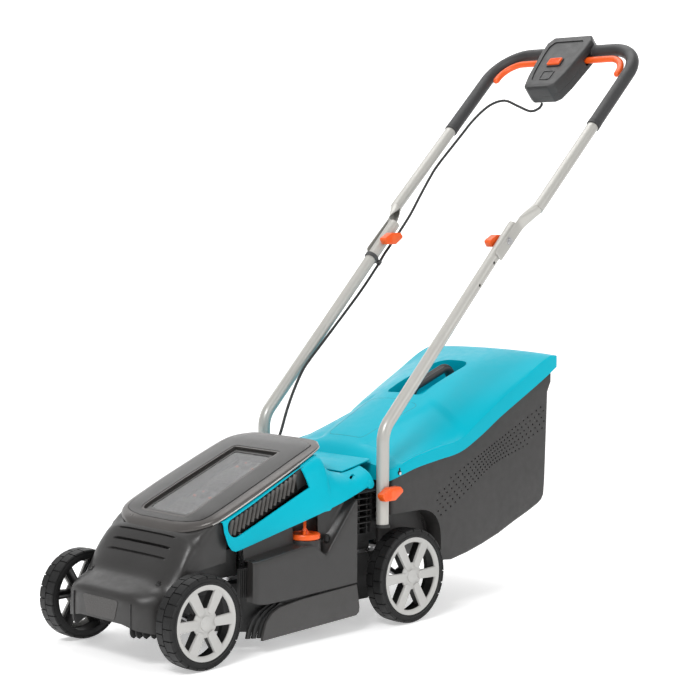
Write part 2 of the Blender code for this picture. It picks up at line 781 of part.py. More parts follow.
def make_wheel(label, sign, u, radius, rim_radius, swing, swing_at):
    half = WHEEL_WIDTH / 2
    seat = radius - TYRE_DEPTH
    tyre = turned(
        f"tyre_{label}",
        [(rim_radius, half), (radius - 0.003, half - 0.001), (radius, half - 0.007), (radius, 0.007 - half), (radius - 0.003, 0.001 - half), (seat, -half), (seat, half - 0.004), (rim_radius, half - 0.003)],
        TYRE,
        32,
    )
    bore = AXLE_RADIUS + CLEARANCE
    rim = turned(
        f"rim_{label}",
        [(0.014, half), (0.030, half - 0.006), (rim_radius - 0.010, half - 0.003), (rim_radius - 0.0012, half), (rim_radius - 0.0012, half - 0.0045), (seat - GAP, half - 0.0055), (seat - GAP, 0.002 - half), (seat - 0.004, 0.002 - half), (seat - 0.004, half - 0.010), (0.0145, half - 0.014), (0.0145, 0.001 - half), (bore, 0.001 - half), (bore, half - 0.003)],
        RIM,
        32,
    )
    hub = drum(f"hub_face_{label}", "X", (sign * (WHEEL_OUTER_X - 0.003), u, radius), 0.0135, 0.006, None, 24)
    where = at(sign * WHEEL_MID_X, u, radius)
    for piece in (tyre, rim):
        piece.location = where
        piece.rotation_euler = (0, sign * math.pi / 2, 0)
    bpy.context.view_layer.update()
    unite(rim, hub)
    axis = pivot(f"wheel_axis_{label}", where)
    carry(swing, swing_at, axis)
    carry(axis, where, tyre, rim)


def make_height_setting():
    """The knob on the left post, and the link that makes both axle cranks swing together."""
    post = at(KNOB_X, KNOB_U, 0)
    disc = 0.0106
    base = POST_TOP + GAP
    knob = drum("height_knob", "Z", (KNOB_X, KNOB_U, base + disc / 2), KNOB_RADIUS, disc, ORANGE, 32)
    half = [(0.025, base + disc / 2), (0.012, KNOB_TOP - 0.009), (0.006, KNOB_TOP)]
    fin = half + [(-x, z) for x, z in reversed(half)]
    turn = Matrix.Rotation(math.radians(-46), 4, "Z") @ Matrix(((1, 0, 0), (0, 0, -1), (0, 1, 0))).to_4x4()
    unite(
        knob,
        plate("knob_fin", fin, -0.003, 0.003, None, Matrix.Translation(post) @ turn),
        drum("knob_stem", "Z", (KNOB_X, KNOB_U, base - 0.016), KNOB_STEM, 0.040, None, 16),
    )
    carry(pivot("height_knob_axis", post), post, knob)
    pins = [(u - CRANK_BACK, radius + CRANK_DOWN + LEVER_REACH) for u, radius, _ in AXLES.values()]
    (front_u, front_z), (rear_u, rear_z) = pins
    half, end = LINK_HALF, 0.006
    outline = [
        (front_u - end, front_z - half),
        (rear_u + end, rear_z - half),
        (rear_u + end, rear_z + half),
        (front_u - end, front_z + half),
    ]
    link = plate("height_link", outline, LINK_X, LINK_X + 0.002, STEEL)
    for name, (u, z) in zip(AXLES, pins):
        cut(link, drum(f"{name}_link_hole", "X", (LINK_X, u, z), PIN_RADIUS + CLEARANCE, 0.02, None, 12))
    where = at(LINK_X, front_u, front_z)
    axis = pivot("height_link_axis", where)
    front_axis = bpy.data.objects["front_axle_axis"]
    carry(front_axis, front_axis.location, axis)
    carry(axis, where, link)


# ---------------------------------------------------------------- rear flap and grass box


def make_rear_flap():
    frame = slope_frame(0.3985, 0.3085, math.radians(11.0))
    outline = [(-0.120, 0.0015), (0.120, 0.0015), (0.120, 0.0855), (-0.120, 0.0855)]
    flap = plate("rear_flap", outline, -0.0035, 0, CYAN, frame)
    hinge = at(0, 0.3985, 0.3085)
    carry(pivot("rear_flap_axis", hinge), hinge, flap)


def lid_edge(u):
    """Height of the lid's lower side edge."""
    knots = [(0.4855, 0.2835), (0.552, 0.303), (0.620, 0.3135), (0.690, 0.324), (0.814, 0.385), (TUB_REAR, 0.4765)]
    for (u0, z0), (u1, z1) in zip(knots, knots[1:]):
        if u <= u1:
            break
    return z0 + (z1 - z0) * (u - u0) / (u1 - u0)


def make_tub():
    top = [(u, lid_edge(u) - 0.0015) for u in (0.814, 0.690, 0.552)]
    outline = [
        (TUB_FRONT, lid_edge(TUB_FRONT) - 0.0015),
        (TUB_FRONT, 0.1500),
        (0.600, 0.1500),
        (0.650, TUB_FLOOR + 0.002),
        (0.682, TUB_FLOOR),
        (0.779, 0.1224),
        (0.880, 0.1565),
        (0.9715, 0.1914),
        (0.981, 0.2046),
        (0.9877, 0.425),
        (0.9985, 0.445),
        (0.9985, 0.4655),
        *top,
    ]
    wall = TUB_WALL
    hollow = [
        (TUB_FRONT + wall, 0.40),
        (TUB_FRONT + wall, 0.1500 + wall),
        (0.600 + wall, 0.1500 + wall),
        (0.650 + wall, TUB_FLOOR + 0.002 + wall),
        (0.682, TUB_FLOOR + wall),
        (0.779, 0.1224 + wall),
        (0.880, 0.1565 + wall),
        (0.9715 - wall, 0.1914 + wall),
        (0.981 - wall, 0.2046 + wall),
        (0.9877 - wall, 0.425),
        (0.9985 - wall, 0.445),
        (0.9985 - wall, 0.60),
        (0.814, 0.60),
    ]
    tub = plate("box_tub", outline, -TUB_HALF, TUB_HALF, DARK)
    inside = plate("tub_hollow", hollow, wall - TUB_HALF, TUB_HALF - wall)
    for side, sign in SIDES.items():
        for target, x, rear, arch_top in (
            (tub, ARCH_X, ARCH_REAR, ARCH_TOP),
            (inside, ARCH_X - wall, ARCH_REAR + wall, ARCH_TOP + wall),
        ):
            low, high = sorted((sign * x, sign * 0.20))
            cut(target, box(f"wheel_space_{side}", (low, 0.40, 0.05), (high, rear, arch_top)))
    mouth = box("mouth_space", (-CHUTE_HALF, TUB_FRONT - 0.02, MOUTH_LOW), (CHUTE_HALF, TUB_FRONT + 0.02, MOUTH_HIGH))
    cut(tub, inside, mouth)
    return tub


def lid_ring(u, half, upper, crest, inset):
    points = [(half - inset, u, lid_edge(u) - (0.02 if inset else 0))]
    for x, _, z in arch(u, half - inset, upper - inset, crest - inset, 3.2, 6):
        points.append((x, u, z))
    return points + [(-x, y, z) for x, y, z in reversed(points[:-1])]


def make_lid():
    stations = [
        (LID_FRONT, 0.168, 0.304, 0.322),
        (0.505, 0.172, 0.309, 0.341),
        (0.530, 0.175, 0.318, 0.3535),
        (0.557, LID_HALF, 0.3256, 0.3660),
        (0.620, LID_HALF, 0.3370, 0.3935),
        (0.690, LID_HALF, 0.3490, 0.4240),
        (0.750, LID_HALF, 0.3840, 0.4500),
        (0.814, LID_HALF, 0.4200, 0.4710),
        (0.880, LID_HALF, 0.4540, 0.4900),
        (0.940, LID_HALF, 0.4860, 0.5030),
        (0.980, 0.175, 0.5030, 0.5100),
        (TUB_REAR + 0.003, 0.173, 0.5030, 0.5085),
    ]
    lid = loft("box_lid", [lid_ring(u, half, up, crest, 0) for u, half, up, crest in stations], CYAN)
    inner = [
        lid_ring(min(max(u, LID_FRONT + LID_WALL), TUB_REAR), half, up, crest, LID_WALL)
        for u, half, up, crest in stations
    ]
    inside = loft("lid_hollow", inner)
    frame = slope_frame(0.700, 0.4275, math.radians(19.3))
    for target, grow in ((lid, 0), (inside, LID_WALL)):
        x, low, high = POCKET_HALF + grow, 0.005 - grow, 0.185 + grow
        outline = [(-x, low), (x, low), (x, high), (-x, high)]
        cut(target, plate("pocket_space", outline, -POCKET_DEPTH - grow, 0.05, None, frame))
    cut(lid, inside)
    foot = GAP - POCKET_DEPTH
    corners = [(0, 0.026, foot), (0, 0.026, -0.003), (0, 0.158, -0.001), (0, 0.158, foot)]
    route = arcs([frame @ Vector(c) for c in corners], [0.020, 0.020])
    handle = pipe("box_handle", route, 0.009, GRIP, 4)
    return [lid, handle]


def make_grass_box():
    tub = make_tub()
    where = at(0, TUB_FRONT, 0.2)
    carry(pivot("grass_box_axis", where), where, tub, *make_lid())


# ---------------------------------------------------------------- handle


def wing_knob(name, frame, low, high, bore_low, bore_high):
    """A winged nut: a long rounded plate across the bolt, blind bored."""
    a, b = KNOB_LENGTH / 2, KNOB_HEIGHT / 2
    outline = [(-a, -0.3 * b), (-0.75 * a, -b), (0.25 * a, -b), (a, 0.1 * b), (a, 0.5 * b), (0.75 * a, b), (-0.25 * a, b), (-a, 0.1 * b)]
    knob = plate(name, outline, low, high, ORANGE, frame)
    bore = drum(f"{name}_bore", "Z", (0, 0, (bore_low + bore_high) / 2), BOLT_RADIUS + CLEARANCE, bore_high - bore_low, None, 16, frame)
    return cut(knob, bore)


def side_axis(where):
    """A frame at a world point whose third axis is world X and whose first is world Y."""
    return Matrix.Translation(where) @ Matrix(((0, 0, 1), (1, 0, 0), (0, 1, 0))).to_4x4()


def make_lower_handle():
    foot = at(0, POST_U, POST_FOOT_Z)
    bend = at(0, POST_U, BEND_Z)
    top = LOWER_FRAME @ Vector((0, LOWER_TOP, 0))
    for side, sign in SIDES.items():
        shift = Vector((sign * POST_X, 0, 0))
        route = arcs([foot + shift, bend + shift, top + shift], [BEND_RADIUS])
        tube = hollow_pipe(f"lower_tube_{side}", route, TUBE_RADIUS, TUBE_WALL, PAINT)
        holes = [drum(f"foot_hole_{side}", "X", (sign * POST_X, POST_U, LOWER_BOLT_Z), BOLT_RADIUS + CLEARANCE, 0.04, None, 12)]
        for i, along in enumerate((0, -0.062, -0.125)):
            holes.append(drum(f"tube_hole_{side}_{i}", "X", (sign * POST_X, along, 0), BOLT_RADIUS + CLEARANCE, 0.04, None, 12, LOWER_FRAME))
        cut(tube, *holes)
        low, high = sorted((sign * (POST_X + TUBE_RADIUS + GAP), sign * (POST_X + TUBE_RADIUS + GAP + KNOB_THICK)))
        inner = sign * (POST_X + TUBE_RADIUS - 0.01)
        outer = sign * (POST_X + TUBE_RADIUS + 0.0115)
        axis_at = at(0, POST_U, LOWER_BOLT_Z)
        knob = wing_knob(f"lower_knob_{side}", side_axis(axis_at), low, high, *sorted((inner, outer)))
        carry(pivot(f"lower_knob_axis_{side}", axis_at), axis_at, knob)
    clip_frame = LOWER_FRAME @ Matrix.Translation((-POST_X, -0.0575, 0))
    clip = drum("cable_clip", "Y", (0, 0, 0), TUBE_RADIUS + 0.0030, 0.008, GRIP, 24, clip_frame)
    unite(clip, drum("clip_lug", "Y", (0.0115, 0, -0.0165), CABLE_RADIUS + 0.0022, 0.008, None, 16, clip_frame))
    cut(
        clip,
        drum("clip_bore", "Y", (0, 0, 0), TUBE_RADIUS + GAP, 0.02, None, 24, clip_frame),
        drum("clip_cable_bore", "Y", (0.0118, 0, -0.0172), CABLE_RADIUS + 0.0006, 0.02, None, 16, clip_frame),
    )


def make_upper_handle():
    hinge = UPPER_FRAME.translation
    upper = pivot("upper_handle_axis", hinge)
    start_x = POST_X + TUBE_RADIUS + 0.0092
    half = [(start_x, 0.050, 0), (start_x, 0.064, 0), (GRIP_X, 0.098, 0), (GRIP_X, BAR_ALONG, 0)]
    corners = half + [(-x, s, n) for x, s, n in reversed(half)]
    radii = [0.03, 0.03, CORNER_RADIUS, CORNER_RADIUS, 0.03, 0.03]
    route = arcs([UPPER_FRAME @ Vector(c) for c in corners], radii)
    tube = hollow_pipe("upper_tube", route, TUBE_RADIUS, TUBE_WALL, PAINT)
    for side, sign in SIDES.items():
        low, high = sorted((sign * STRAP_X, sign * (STRAP_X + STRAP)))
        wide = 0.0118
        outline = [(low, -STRAP_LOW), (high, -STRAP_LOW), (high, STRAP_HIGH), (low, STRAP_HIGH)]
        unite(tube, plate(f"strap_{side}", outline, -wide, wide, None, UPPER_FRAME))
        cut(tube, drum(f"strap_hole_{side}", "X", (sign * (STRAP_X + 0.002), 0, 0), BOLT_RADIUS + CLEARANCE, 0.012, None, 12, UPPER_FRAME))
    carry(upper, hinge, tube)
    for side, sign in SIDES.items():
        corners = [(sign * GRIP_X, GRIP_START, 0), (sign * GRIP_X, BAR_ALONG, 0), (sign * (BOX_HALF + 0.001), BAR_ALONG, 0)]
        route = arcs([UPPER_FRAME @ Vector(c) for c in corners], [CORNER_RADIUS])
        bore = (TUBE_RADIUS + GAP) / math.cos(math.pi / 12)
        grip = hollow_pipe(f"grip_{side}", route, GRIP_RADIUS, GRIP_RADIUS - bore, GRIP)
        carry(upper, hinge, grip)
        head = STRAP_X + STRAP + GAP
        bolt = drum(f"upper_bolt_{side}", "X", (sign * (head + 0.0015), 0, 0), 0.006, 0.003, STEEL, 16, UPPER_FRAME)
        tip = POST_X - TUBE_RADIUS - 0.012
        unite(bolt, drum(f"upper_stem_{side}", "X", (sign * (head + 0.001 + tip) / 2, 0, 0), BOLT_RADIUS, head + 0.001 - tip, None, 16, UPPER_FRAME))
        inner = POST_X - TUBE_RADIUS - GAP
        low, high = sorted((sign * (inner - KNOB_THICK), sign * inner))
        bore = sorted((sign * (tip - 0.0005), sign * (inner + 0.01)))
        knob = wing_knob(f"upper_knob_{side}", side_axis(hinge), low, high, *bore)
        carry(pivot(f"upper_knob_axis_{side}", hinge), hinge, knob)
    return upper, hinge


def make_controls(upper, hinge):
    """Two shells clamped round the crossbar, with the bail below the grips and the button on top."""
    low, high = BAR_ALONG - BOX_LOW, BAR_ALONG + BOX_HIGH
    half = [(0.030, low), (0.044, low + 0.010), (0.053, low + 0.045), (BOX_HALF - 0.001, low + 0.125), (BOX_HALF, high - 0.020), (0.052, high)]
    outline = [(-x, s) for x, s in half] + [(x, s) for x, s in reversed(half)]
    wall = 0.0025
    inner = [(x * (1 - wall / 0.03), s + (wall if s < BAR_ALONG - 0.1 else -wall)) for x, s in outline]
    shells = {}
    for name, bottom, top, hollow in (
        ("control_box_upper", 0.0004, BOX_TOP_N, (-0.01, BOX_TOP_N - wall)),
        ("control_box_lower", -BOX_BOTTOM_N, 0.0, (wall - BOX_BOTTOM_N, 0.01)),
    ):
        shell = plate(name, outline, bottom, top, GRIP, UPPER_FRAME)
        slot = [(-0.1, BAR_ALONG - BAIL_GAP - 0.0115), (0.1, BAR_ALONG - BAIL_GAP - 0.0115), (0.1, BAR_ALONG - BAIL_GAP + 0.0155), (-0.1, BAR_ALONG - BAIL_GAP + 0.0155)]
        cut(
            shell,
            plate(f"{name}_hollow", inner, *hollow, None, UPPER_FRAME),
            drum(f"{name}_bar", "X", (0, BAR_ALONG, 0), TUBE_RADIUS + GAP, 0.2, None, 24, UPPER_FRAME),
            plate(f"{name}_slot", slot, -0.0088, 0.0088, None, UPPER_FRAME),
        )
        carry(upper, hinge, shell)
        shells[name] = shell
    window = box_outline(BUTTON_HALF + CLEARANCE, BUTTON_ALONG, BUTTON_LENGTH + 2 * CLEARANCE)
    cut(shells["control_box_upper"], plate("button_window", window, 0.015, 0.05, None, UPPER_FRAME))
    button = plate("start_button", box_outline(BUTTON_HALF, BUTTON_ALONG, BUTTON_LENGTH), BOX_TOP_N - 0.006, BOX_TOP_N + 0.004, ORANGE, UPPER_FRAME)
    button_at = UPPER_FRAME @ Vector((0, BUTTON_ALONG, BOX_TOP_N))
    button_axis = pivot("start_button_axis", button_at)
    carry(upper, hinge, button_axis)
    carry(button_axis, button_at, button)

    reach = GRIP_X - BAIL_GAP
    corners = [(-reach, BAR_ALONG - 0.082, 0), (-reach, BAR_ALONG - BAIL_GAP, 0), (reach, BAR_ALONG - BAIL_GAP, 0), (reach, BAR_ALONG - 0.082, 0)]
    route = arcs([UPPER_FRAME @ Vector(c) for c in corners], [0.050, 0.050])
    bail = pipe("start_bail", route, BAIL_RADIUS, ORANGE, 4)
    bail_at = UPPER_FRAME @ Vector((0, BAR_ALONG - BAIL_GAP, 0))
    bail_axis = pivot("start_bail_axis", bail_at)
    carry(upper, hinge, bail_axis)
    carry(bail_axis, bail_at, bail)


def box_outline(half, middle, length):
    low, high = middle - length / 2, middle + length / 2
    return [(-half, low), (half, low), (half, high), (-half, high)]


# ---------------------------------------------------------------- cable


def smooth_route(knots, spacing):
    """Points about a spacing apart on a smooth curve through the knots."""
    points = []
    ends = [knots[0] * 2 - knots[1], *knots, knots[-1] * 2 - knots[-2]]
    for a, b, c, d in zip(ends, ends[1:], ends[2:], ends[3:]):
        steps = max(2, round((c - b).length / spacing))
        for i in range(steps):
            t = i / steps
            points.append(0.5 * (2 * b + (c - a) * t + (2 * a - 5 * b + 4 * c - d) * t * t + (3 * b - a - 3 * c + d) * t**3))
    points.append(knots[-1])
    return points


def make_cable():
    upper = [
        (-0.016, 0.4650, -0.0240),
        (-0.020, 0.4560, -0.0300),
        (-0.040, 0.4445, -0.0300),
        (-0.072, 0.4470, -0.0140),
        (-0.103, 0.4500, 0.0000),
        (-0.138, 0.4350, 0.0000),
        (-0.166, 0.3980, -0.0080),
        (-0.180, 0.3500, -0.0150),
        (-0.184, 0.2537, -0.0135),
        (-0.181, 0.2106, -0.0135),
        (-0.172, 0.1446, -0.0150),
        (-0.166, 0.0959, -0.0175),
        (-0.1625, 0.0471, -0.0180),
        (-0.1615, 0.0000, -0.0185),
        (-0.1600, -0.0300, -0.0180),
        (-0.157, -0.0500, -0.0175),
    ]
    lower = [
        (-0.157, -0.0640, -0.0172),
        (-0.156, -0.1294, -0.0172),
        (-0.153, -0.1863, -0.0129),
        (-0.150, -0.2930, -0.0047),
        (-0.147, -0.3516, 0.0011),
        (-0.142, -0.3884, 0.0041),
        (-0.137, -0.4370, -0.0024),
        (-0.132, -0.4802, -0.0120),
    ]
    tail = [(-0.1290, 0.4760, 0.3500), (-0.1300, 0.4630, 0.3330), (-0.1340, 0.4470, 0.3235), (-0.1385, 0.4345, 0.3195)]
    upper_knots = [UPPER_FRAME @ Vector(k) for k in upper]
    lower_knots = [LOWER_FRAME @ Vector(k) for k in lower] + [at(*k) for k in tail]
    gland = drum("cable_gland", "Z", (-0.1400, 0.4270, 0.3155), 0.0062, 0.0070, BLACK, 16)
    pipe("cable_upper", smooth_route(upper_knots, 0.024), CABLE_RADIUS, BLACK, 2)
    pipe("cable_lower", smooth_route(lower_knots, 0.024), CABLE_RADIUS, BLACK, 2)


make_chassis()
make_cowl()
make_hood()
make_cover()
make_vent_grilles()
make_deck_sides()
make_grass_combs()
make_brackets()
make_power_unit()
make_flap()
make_rotor()
make_wheels()
make_height_setting()
make_rear_flap()
make_grass_box()
make_lower_handle()
make_controls(*make_upper_handle())
make_cable()
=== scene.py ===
import math

import bmesh
import bpy
from mathutils import Matrix, Vector


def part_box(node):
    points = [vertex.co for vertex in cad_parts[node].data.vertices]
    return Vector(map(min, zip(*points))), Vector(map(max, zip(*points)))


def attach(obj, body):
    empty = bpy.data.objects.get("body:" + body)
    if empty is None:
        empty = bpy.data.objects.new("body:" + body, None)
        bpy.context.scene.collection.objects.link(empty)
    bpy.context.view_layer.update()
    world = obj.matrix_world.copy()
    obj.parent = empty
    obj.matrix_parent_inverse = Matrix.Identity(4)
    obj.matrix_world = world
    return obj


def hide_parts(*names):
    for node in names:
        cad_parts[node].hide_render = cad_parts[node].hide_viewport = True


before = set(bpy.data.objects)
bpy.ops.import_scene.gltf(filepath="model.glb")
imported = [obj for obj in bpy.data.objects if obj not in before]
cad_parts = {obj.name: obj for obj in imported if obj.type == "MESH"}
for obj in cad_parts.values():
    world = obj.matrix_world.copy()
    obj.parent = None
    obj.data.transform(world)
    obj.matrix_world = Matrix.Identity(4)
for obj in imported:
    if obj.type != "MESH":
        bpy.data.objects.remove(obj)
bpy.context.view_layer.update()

# ------------------------------------------------------------------ blade pan
# The black lower moulding of the mower: a round blade chamber with a sloping chute behind it.
# It is injection-moulded polypropylene, and the motor is bolted to its top.

rim_low, rim_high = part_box("rim_front_left")
axle_y = (rim_low[1] + rim_high[1]) / 2
sides = {"left": 1, "right": -1}


def at(x, u, z):
    """A point at x, a distance u behind the front axle, and a height z."""
    return Vector((x, axle_y + u, z))


def link_up(tree, start, start_socket, end, end_socket):
    """Joins an output of one node to an input of another."""
    tree.links.new(start.outputs[start_socket], end.inputs[end_socket])


def shade(name, roughness, metallic=0.0, **sockets):
    """A new material with its shader, its object coordinates, and its constant sockets set."""
    made = bpy.data.materials.new(name)
    made.use_nodes = True
    tree = made.node_tree
    shader = tree.nodes["Principled BSDF"]
    shader.inputs["Roughness"].default_value = roughness
    shader.inputs["Metallic"].default_value = metallic
    for socket, value in sockets.items():
        shader.inputs[socket.replace("_", " ")].default_value = value
    where = tree.nodes.new("ShaderNodeTexCoord")
    return made, tree, shader, where


def noise_of(tree, where, scale, detail=3.0, stretch=None):
    """A noise on the piece's own coordinates, drawn out along an axis when a stretch is given."""
    noise = tree.nodes.new("ShaderNodeTexNoise")
    noise.inputs["Scale"].default_value = scale
    noise.inputs["Detail"].default_value = detail
    if stretch:
        mapping = tree.nodes.new("ShaderNodeMapping")
        mapping.inputs["Scale"].default_value = stretch
        link_up(tree, where, "Object", mapping, "Vector")
        link_up(tree, mapping, "Vector", noise, "Vector")
    else:
        link_up(tree, where, "Object", noise, "Vector")
    return noise


def cells_of(tree, where, scale):
    """A pattern of small cells on the piece's own coordinates."""
    cells = tree.nodes.new("ShaderNodeTexVoronoi")
    cells.inputs["Scale"].default_value = scale
    link_up(tree, where, "Object", cells, "Vector")
    return cells


def blend(tree, cells, dark, light, shader):
    """Colours the shader from the middle of each cell to its edge."""
    ramp = tree.nodes.new("ShaderNodeValToRGB")
    ramp.color_ramp.elements[0].color = (*dark, 1)
    ramp.color_ramp.elements[1].color = (*light, 1)
    link_up(tree, cells, "Distance", ramp, "Fac")
    link_up(tree, ramp, "Color", shader, "Base Color")


def two_tone(tree, noise, dark, light):
    """A dark and a light shade mixed by a noise."""
    ramp = tree.nodes.new("ShaderNodeValToRGB")
    ramp.color_ramp.elements[0].position = 0.35
    ramp.color_ramp.elements[1].position = 0.65
    ramp.color_ramp.elements[0].color = (*dark, 1)
    ramp.color_ramp.elements[1].color = (*light, 1)
    link_up(tree, noise, "Fac", ramp, "Fac")
    return ramp


def rough_range(tree, noise, shader, low, high):
    """Varies the roughness between two values by a noise."""
    spread = tree.nodes.new("ShaderNodeMapRange")
    for socket, value in (("From Min", 0.3), ("From Max", 0.7), ("To Min", low), ("To Max", high)):
        spread.inputs[socket].default_value = value
    link_up(tree, noise, "Fac", spread, "Value")
    link_up(tree, spread, "Result", shader, "Roughness")


def bump_up(tree, height, socket, shader, strength, distance):
    """Raises the surface by one output of a node."""
    bump = tree.nodes.new("ShaderNodeBump")
    bump.inputs["Strength"].default_value = strength
    bump.inputs["Distance"].default_value = distance
    link_up(tree, height, socket, bump, "Height")
    link_up(tree, bump, "Normal", shader, "Normal")


def moulded(name, colour, roughness, grain=1400.0, relief=0.25, tone=0.07, edge=0.35, **sockets):
    """Moulded plastic: spark-eroded grain, faint flow marks, and paler edges that stand for rubbing and a painted
    highlight.
    """
    made, tree, shader, where = shade(name, roughness, **sockets)
    dark = [c * (1 - tone) for c in colour]
    light = [min(1.0, c * (1 + tone)) for c in colour]
    body = two_tone(tree, noise_of(tree, where, 7.0, 4.0), dark, light)
    # Edges found by pointiness are lightened: partly edge wear, partly a painted highlight on the edges.
    geometry = tree.nodes.new("ShaderNodeNewGeometry")
    rubbed_and_highlit = tree.nodes.new("ShaderNodeMapRange")
    rubbed_and_highlit.inputs["From Min"].default_value = 0.515
    rubbed_and_highlit.inputs["From Max"].default_value = 0.6
    rubbed_and_highlit.inputs["To Max"].default_value = edge
    link_up(tree, geometry, "Pointiness", rubbed_and_highlit, "Value")
    mix = tree.nodes.new("ShaderNodeMix")
    mix.data_type = "RGBA"
    mix.inputs["B"].default_value = (*[min(1.0, c * 1.35 + 0.015) for c in colour], 1)
    link_up(tree, rubbed_and_highlit, "Result", mix, "Factor")
    link_up(tree, body, "Color", mix, "A")
    link_up(tree, mix, "Result", shader, "Base Color")
    rough_range(tree, noise_of(tree, where, 60.0, 5.0), shader, roughness - 0.05, roughness + 0.07)
    bump_up(tree, noise_of(tree, where, grain, 2.0), "Fac", shader, relief, 0.0003)
    return made


def dress(material, *nodes):
    """Gives CAD nodes that stay as they are their finished material."""
    for node in nodes:
        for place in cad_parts[node].material_slots:
            place.material = material


def show(name, bm, material, body, stands_for=(), angle=34):
    """Turns a bmesh into a piece that rides on a body, smooth but for its sharp edges."""
    mesh = bpy.data.meshes.new(name)
    bm.to_mesh(mesh)
    bm.free()
    mesh.materials.append(material)
    mesh.shade_smooth()
    mesh.set_sharp_from_angle(angle=math.radians(angle))
    made = bpy.data.objects.new(name, mesh)
    bpy.context.scene.collection.objects.link(made)
    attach(made, body)
    if stands_for:
        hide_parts(*stands_for)
    return made


def soften(bm, edges, width, segments=2, **more):
    """Rounds edges to a width."""
    bmesh.ops.bevel(
        bm, geom=edges, offset=width, offset_type="OFFSET", affect="EDGES", segments=segments, profile=0.5, material=-1, **more
    )


def square_edges(bm):
    """The edges whose two faces meet at about a right angle."""
    return [e for e in bm.edges if e.calc_face_angle(0) > 1.2]


def face_out(bm, verts):
    """Turns the faces round some vertices outwards."""
    bmesh.ops.recalc_face_normals(bm, faces=list({f for v in verts for f in v.link_faces}))


def since(bm, known):
    """The vertices made since a set of known ones was taken."""
    return [v for v in bm.verts if v not in known]


def lathe(bm, loop, steps):
    """A ring about Z from a closed loop of (radius, height)."""
    verts = [bm.verts.new((r, 0, z)) for r, z in loop]
    edges = [bm.edges.new(pair) for pair in zip(verts, verts[1:] + verts[:1])]
    bmesh.ops.spin(
        bm, geom=verts + edges, cent=(0, 0, 0), axis=(0, 0, 1), angle=math.tau, steps=steps, use_merge=True
    )


def block(bm, low, high, turn=None, wide=0.0):
    """A box between two corners, turned about its centre when a matrix is given, with its edges eased."""
    low, high = Vector(low), Vector(high)
    size = Matrix.Diagonal((*(high - low), 1))
    place = Matrix.Translation((low + high) / 2) @ (turn or Matrix.Identity(4))
    verts = bmesh.ops.create_cube(bm, size=1, matrix=place @ size)["verts"]
    if wide:
        soften(bm, list({e for v in verts for e in v.link_edges}), wide)
    return verts


def disc(bm, centre, radius, length, axis="Z", segments=32, top=None, frame_to_world=None):
    """A drum about an axis, narrower at its far end when a top radius is given."""
    turn = {
        "X": Matrix.Rotation(math.pi / 2, 4, "Y"),
        "-X": Matrix.Rotation(-math.pi / 2, 4, "Y"),
        "Y": Matrix.Rotation(-math.pi / 2, 4, "X"),
        "Z": Matrix.Identity(4),
    }[axis]
    place = Matrix.Translation(centre) @ turn
    if frame_to_world:
        place = frame_to_world @ place
    made = bmesh.ops.create_cone(
        bm, cap_ends=True, segments=segments, radius1=radius, radius2=radius if top is None else top, depth=length, matrix=place
    )
    return made["verts"]


black_plastic = moulded("black_plastic", (0.014, 0.014, 0.014), 0.52, relief=0.4)
dress(black_plastic, "chassis", "front_axle_clamp", "rear_axle_clamp")

# ------------------------------------------------------------------ motor and blade
# A brushless motor with a steel shaft carries a pressed steel blade under the pan.
# The blade is stamped, sharpened at both ends, and held by a hexagon bolt.


def metal(name, colour, roughness, stretch=(1, 60, 60)):
    """Bright steel with fine lines along one way of the piece and a few duller patches."""
    made, tree, shader, where = shade(name, roughness, 1.0)
    lines = noise_of(tree, where, 40.0, 4.0, stretch)
    tone = two_tone(tree, lines, [c * 0.82 for c in colour], colour)
    link_up(tree, tone, "Color", shader, "Base Color")
    rough_range(tree, noise_of(tree, where, 90.0, 4.0), shader, roughness - 0.06, roughness + 0.1)
    bump_up(tree, lines, "Fac", shader, 0.12, 0.0002)
    return made


zinc = metal("zinc_plate", (0.66, 0.66, 0.67), 0.28)
blade_steel = metal("blade_steel", (0.42, 0.43, 0.45), 0.36, (60, 1, 60))
dress(
    zinc, "motor", "rotor_shaft", "blade_bolt", "front_axle", "rear_axle", "height_link", "lower_bolt_left",
    "lower_bolt_right"
)
dress(blade_steel, "blade")

board, tree, shader, where = shade("circuit_board", 0.4)
tracks = cells_of(tree, where, 160.0)
blend(tree, tracks, (0.01, 0.1, 0.04), (0.03, 0.22, 0.09), shader)
dress(board, "control_board")

# ------------------------------------------------------------------ wheels
# Each wheel is a black moulded body with a light grey six-spoke trim snapped to its outer side.
# The tyre is moulded round it in hard black plastic, with two staggered rows of tread blocks.

tyre_rubber = moulded(
    "tyre_rubber", (0.006, 0.006, 0.0062), 0.5, grain=700.0, relief=0.35, edge=0.3, Specular_IOR_Level=0.3
)
trim_grey = moulded("trim_grey", (0.46, 0.455, 0.44), 0.5, relief=0.15, tone=0.04, edge=0.2)
spokes = 6
tread_blocks = 24


def turned(bm, loop, centre, steps, way):
    """A ring about X from a closed loop of (distance outwards, radius)."""
    verts = [bm.verts.new((way * x, 0, r)) for x, r in loop]
    edges = [bm.edges.new(pair) for pair in zip(verts, verts[1:] + verts[:1])]
    known = set(bm.verts) - set(verts)
    bmesh.ops.spin(
        bm, geom=verts + edges, cent=(0, 0, 0), axis=(1, 0, 0), angle=math.tau, steps=steps, use_merge=True
    )
    fresh = since(bm, known)
    face_out(bm, fresh)
    bmesh.ops.translate(bm, vec=centre, verts=fresh)


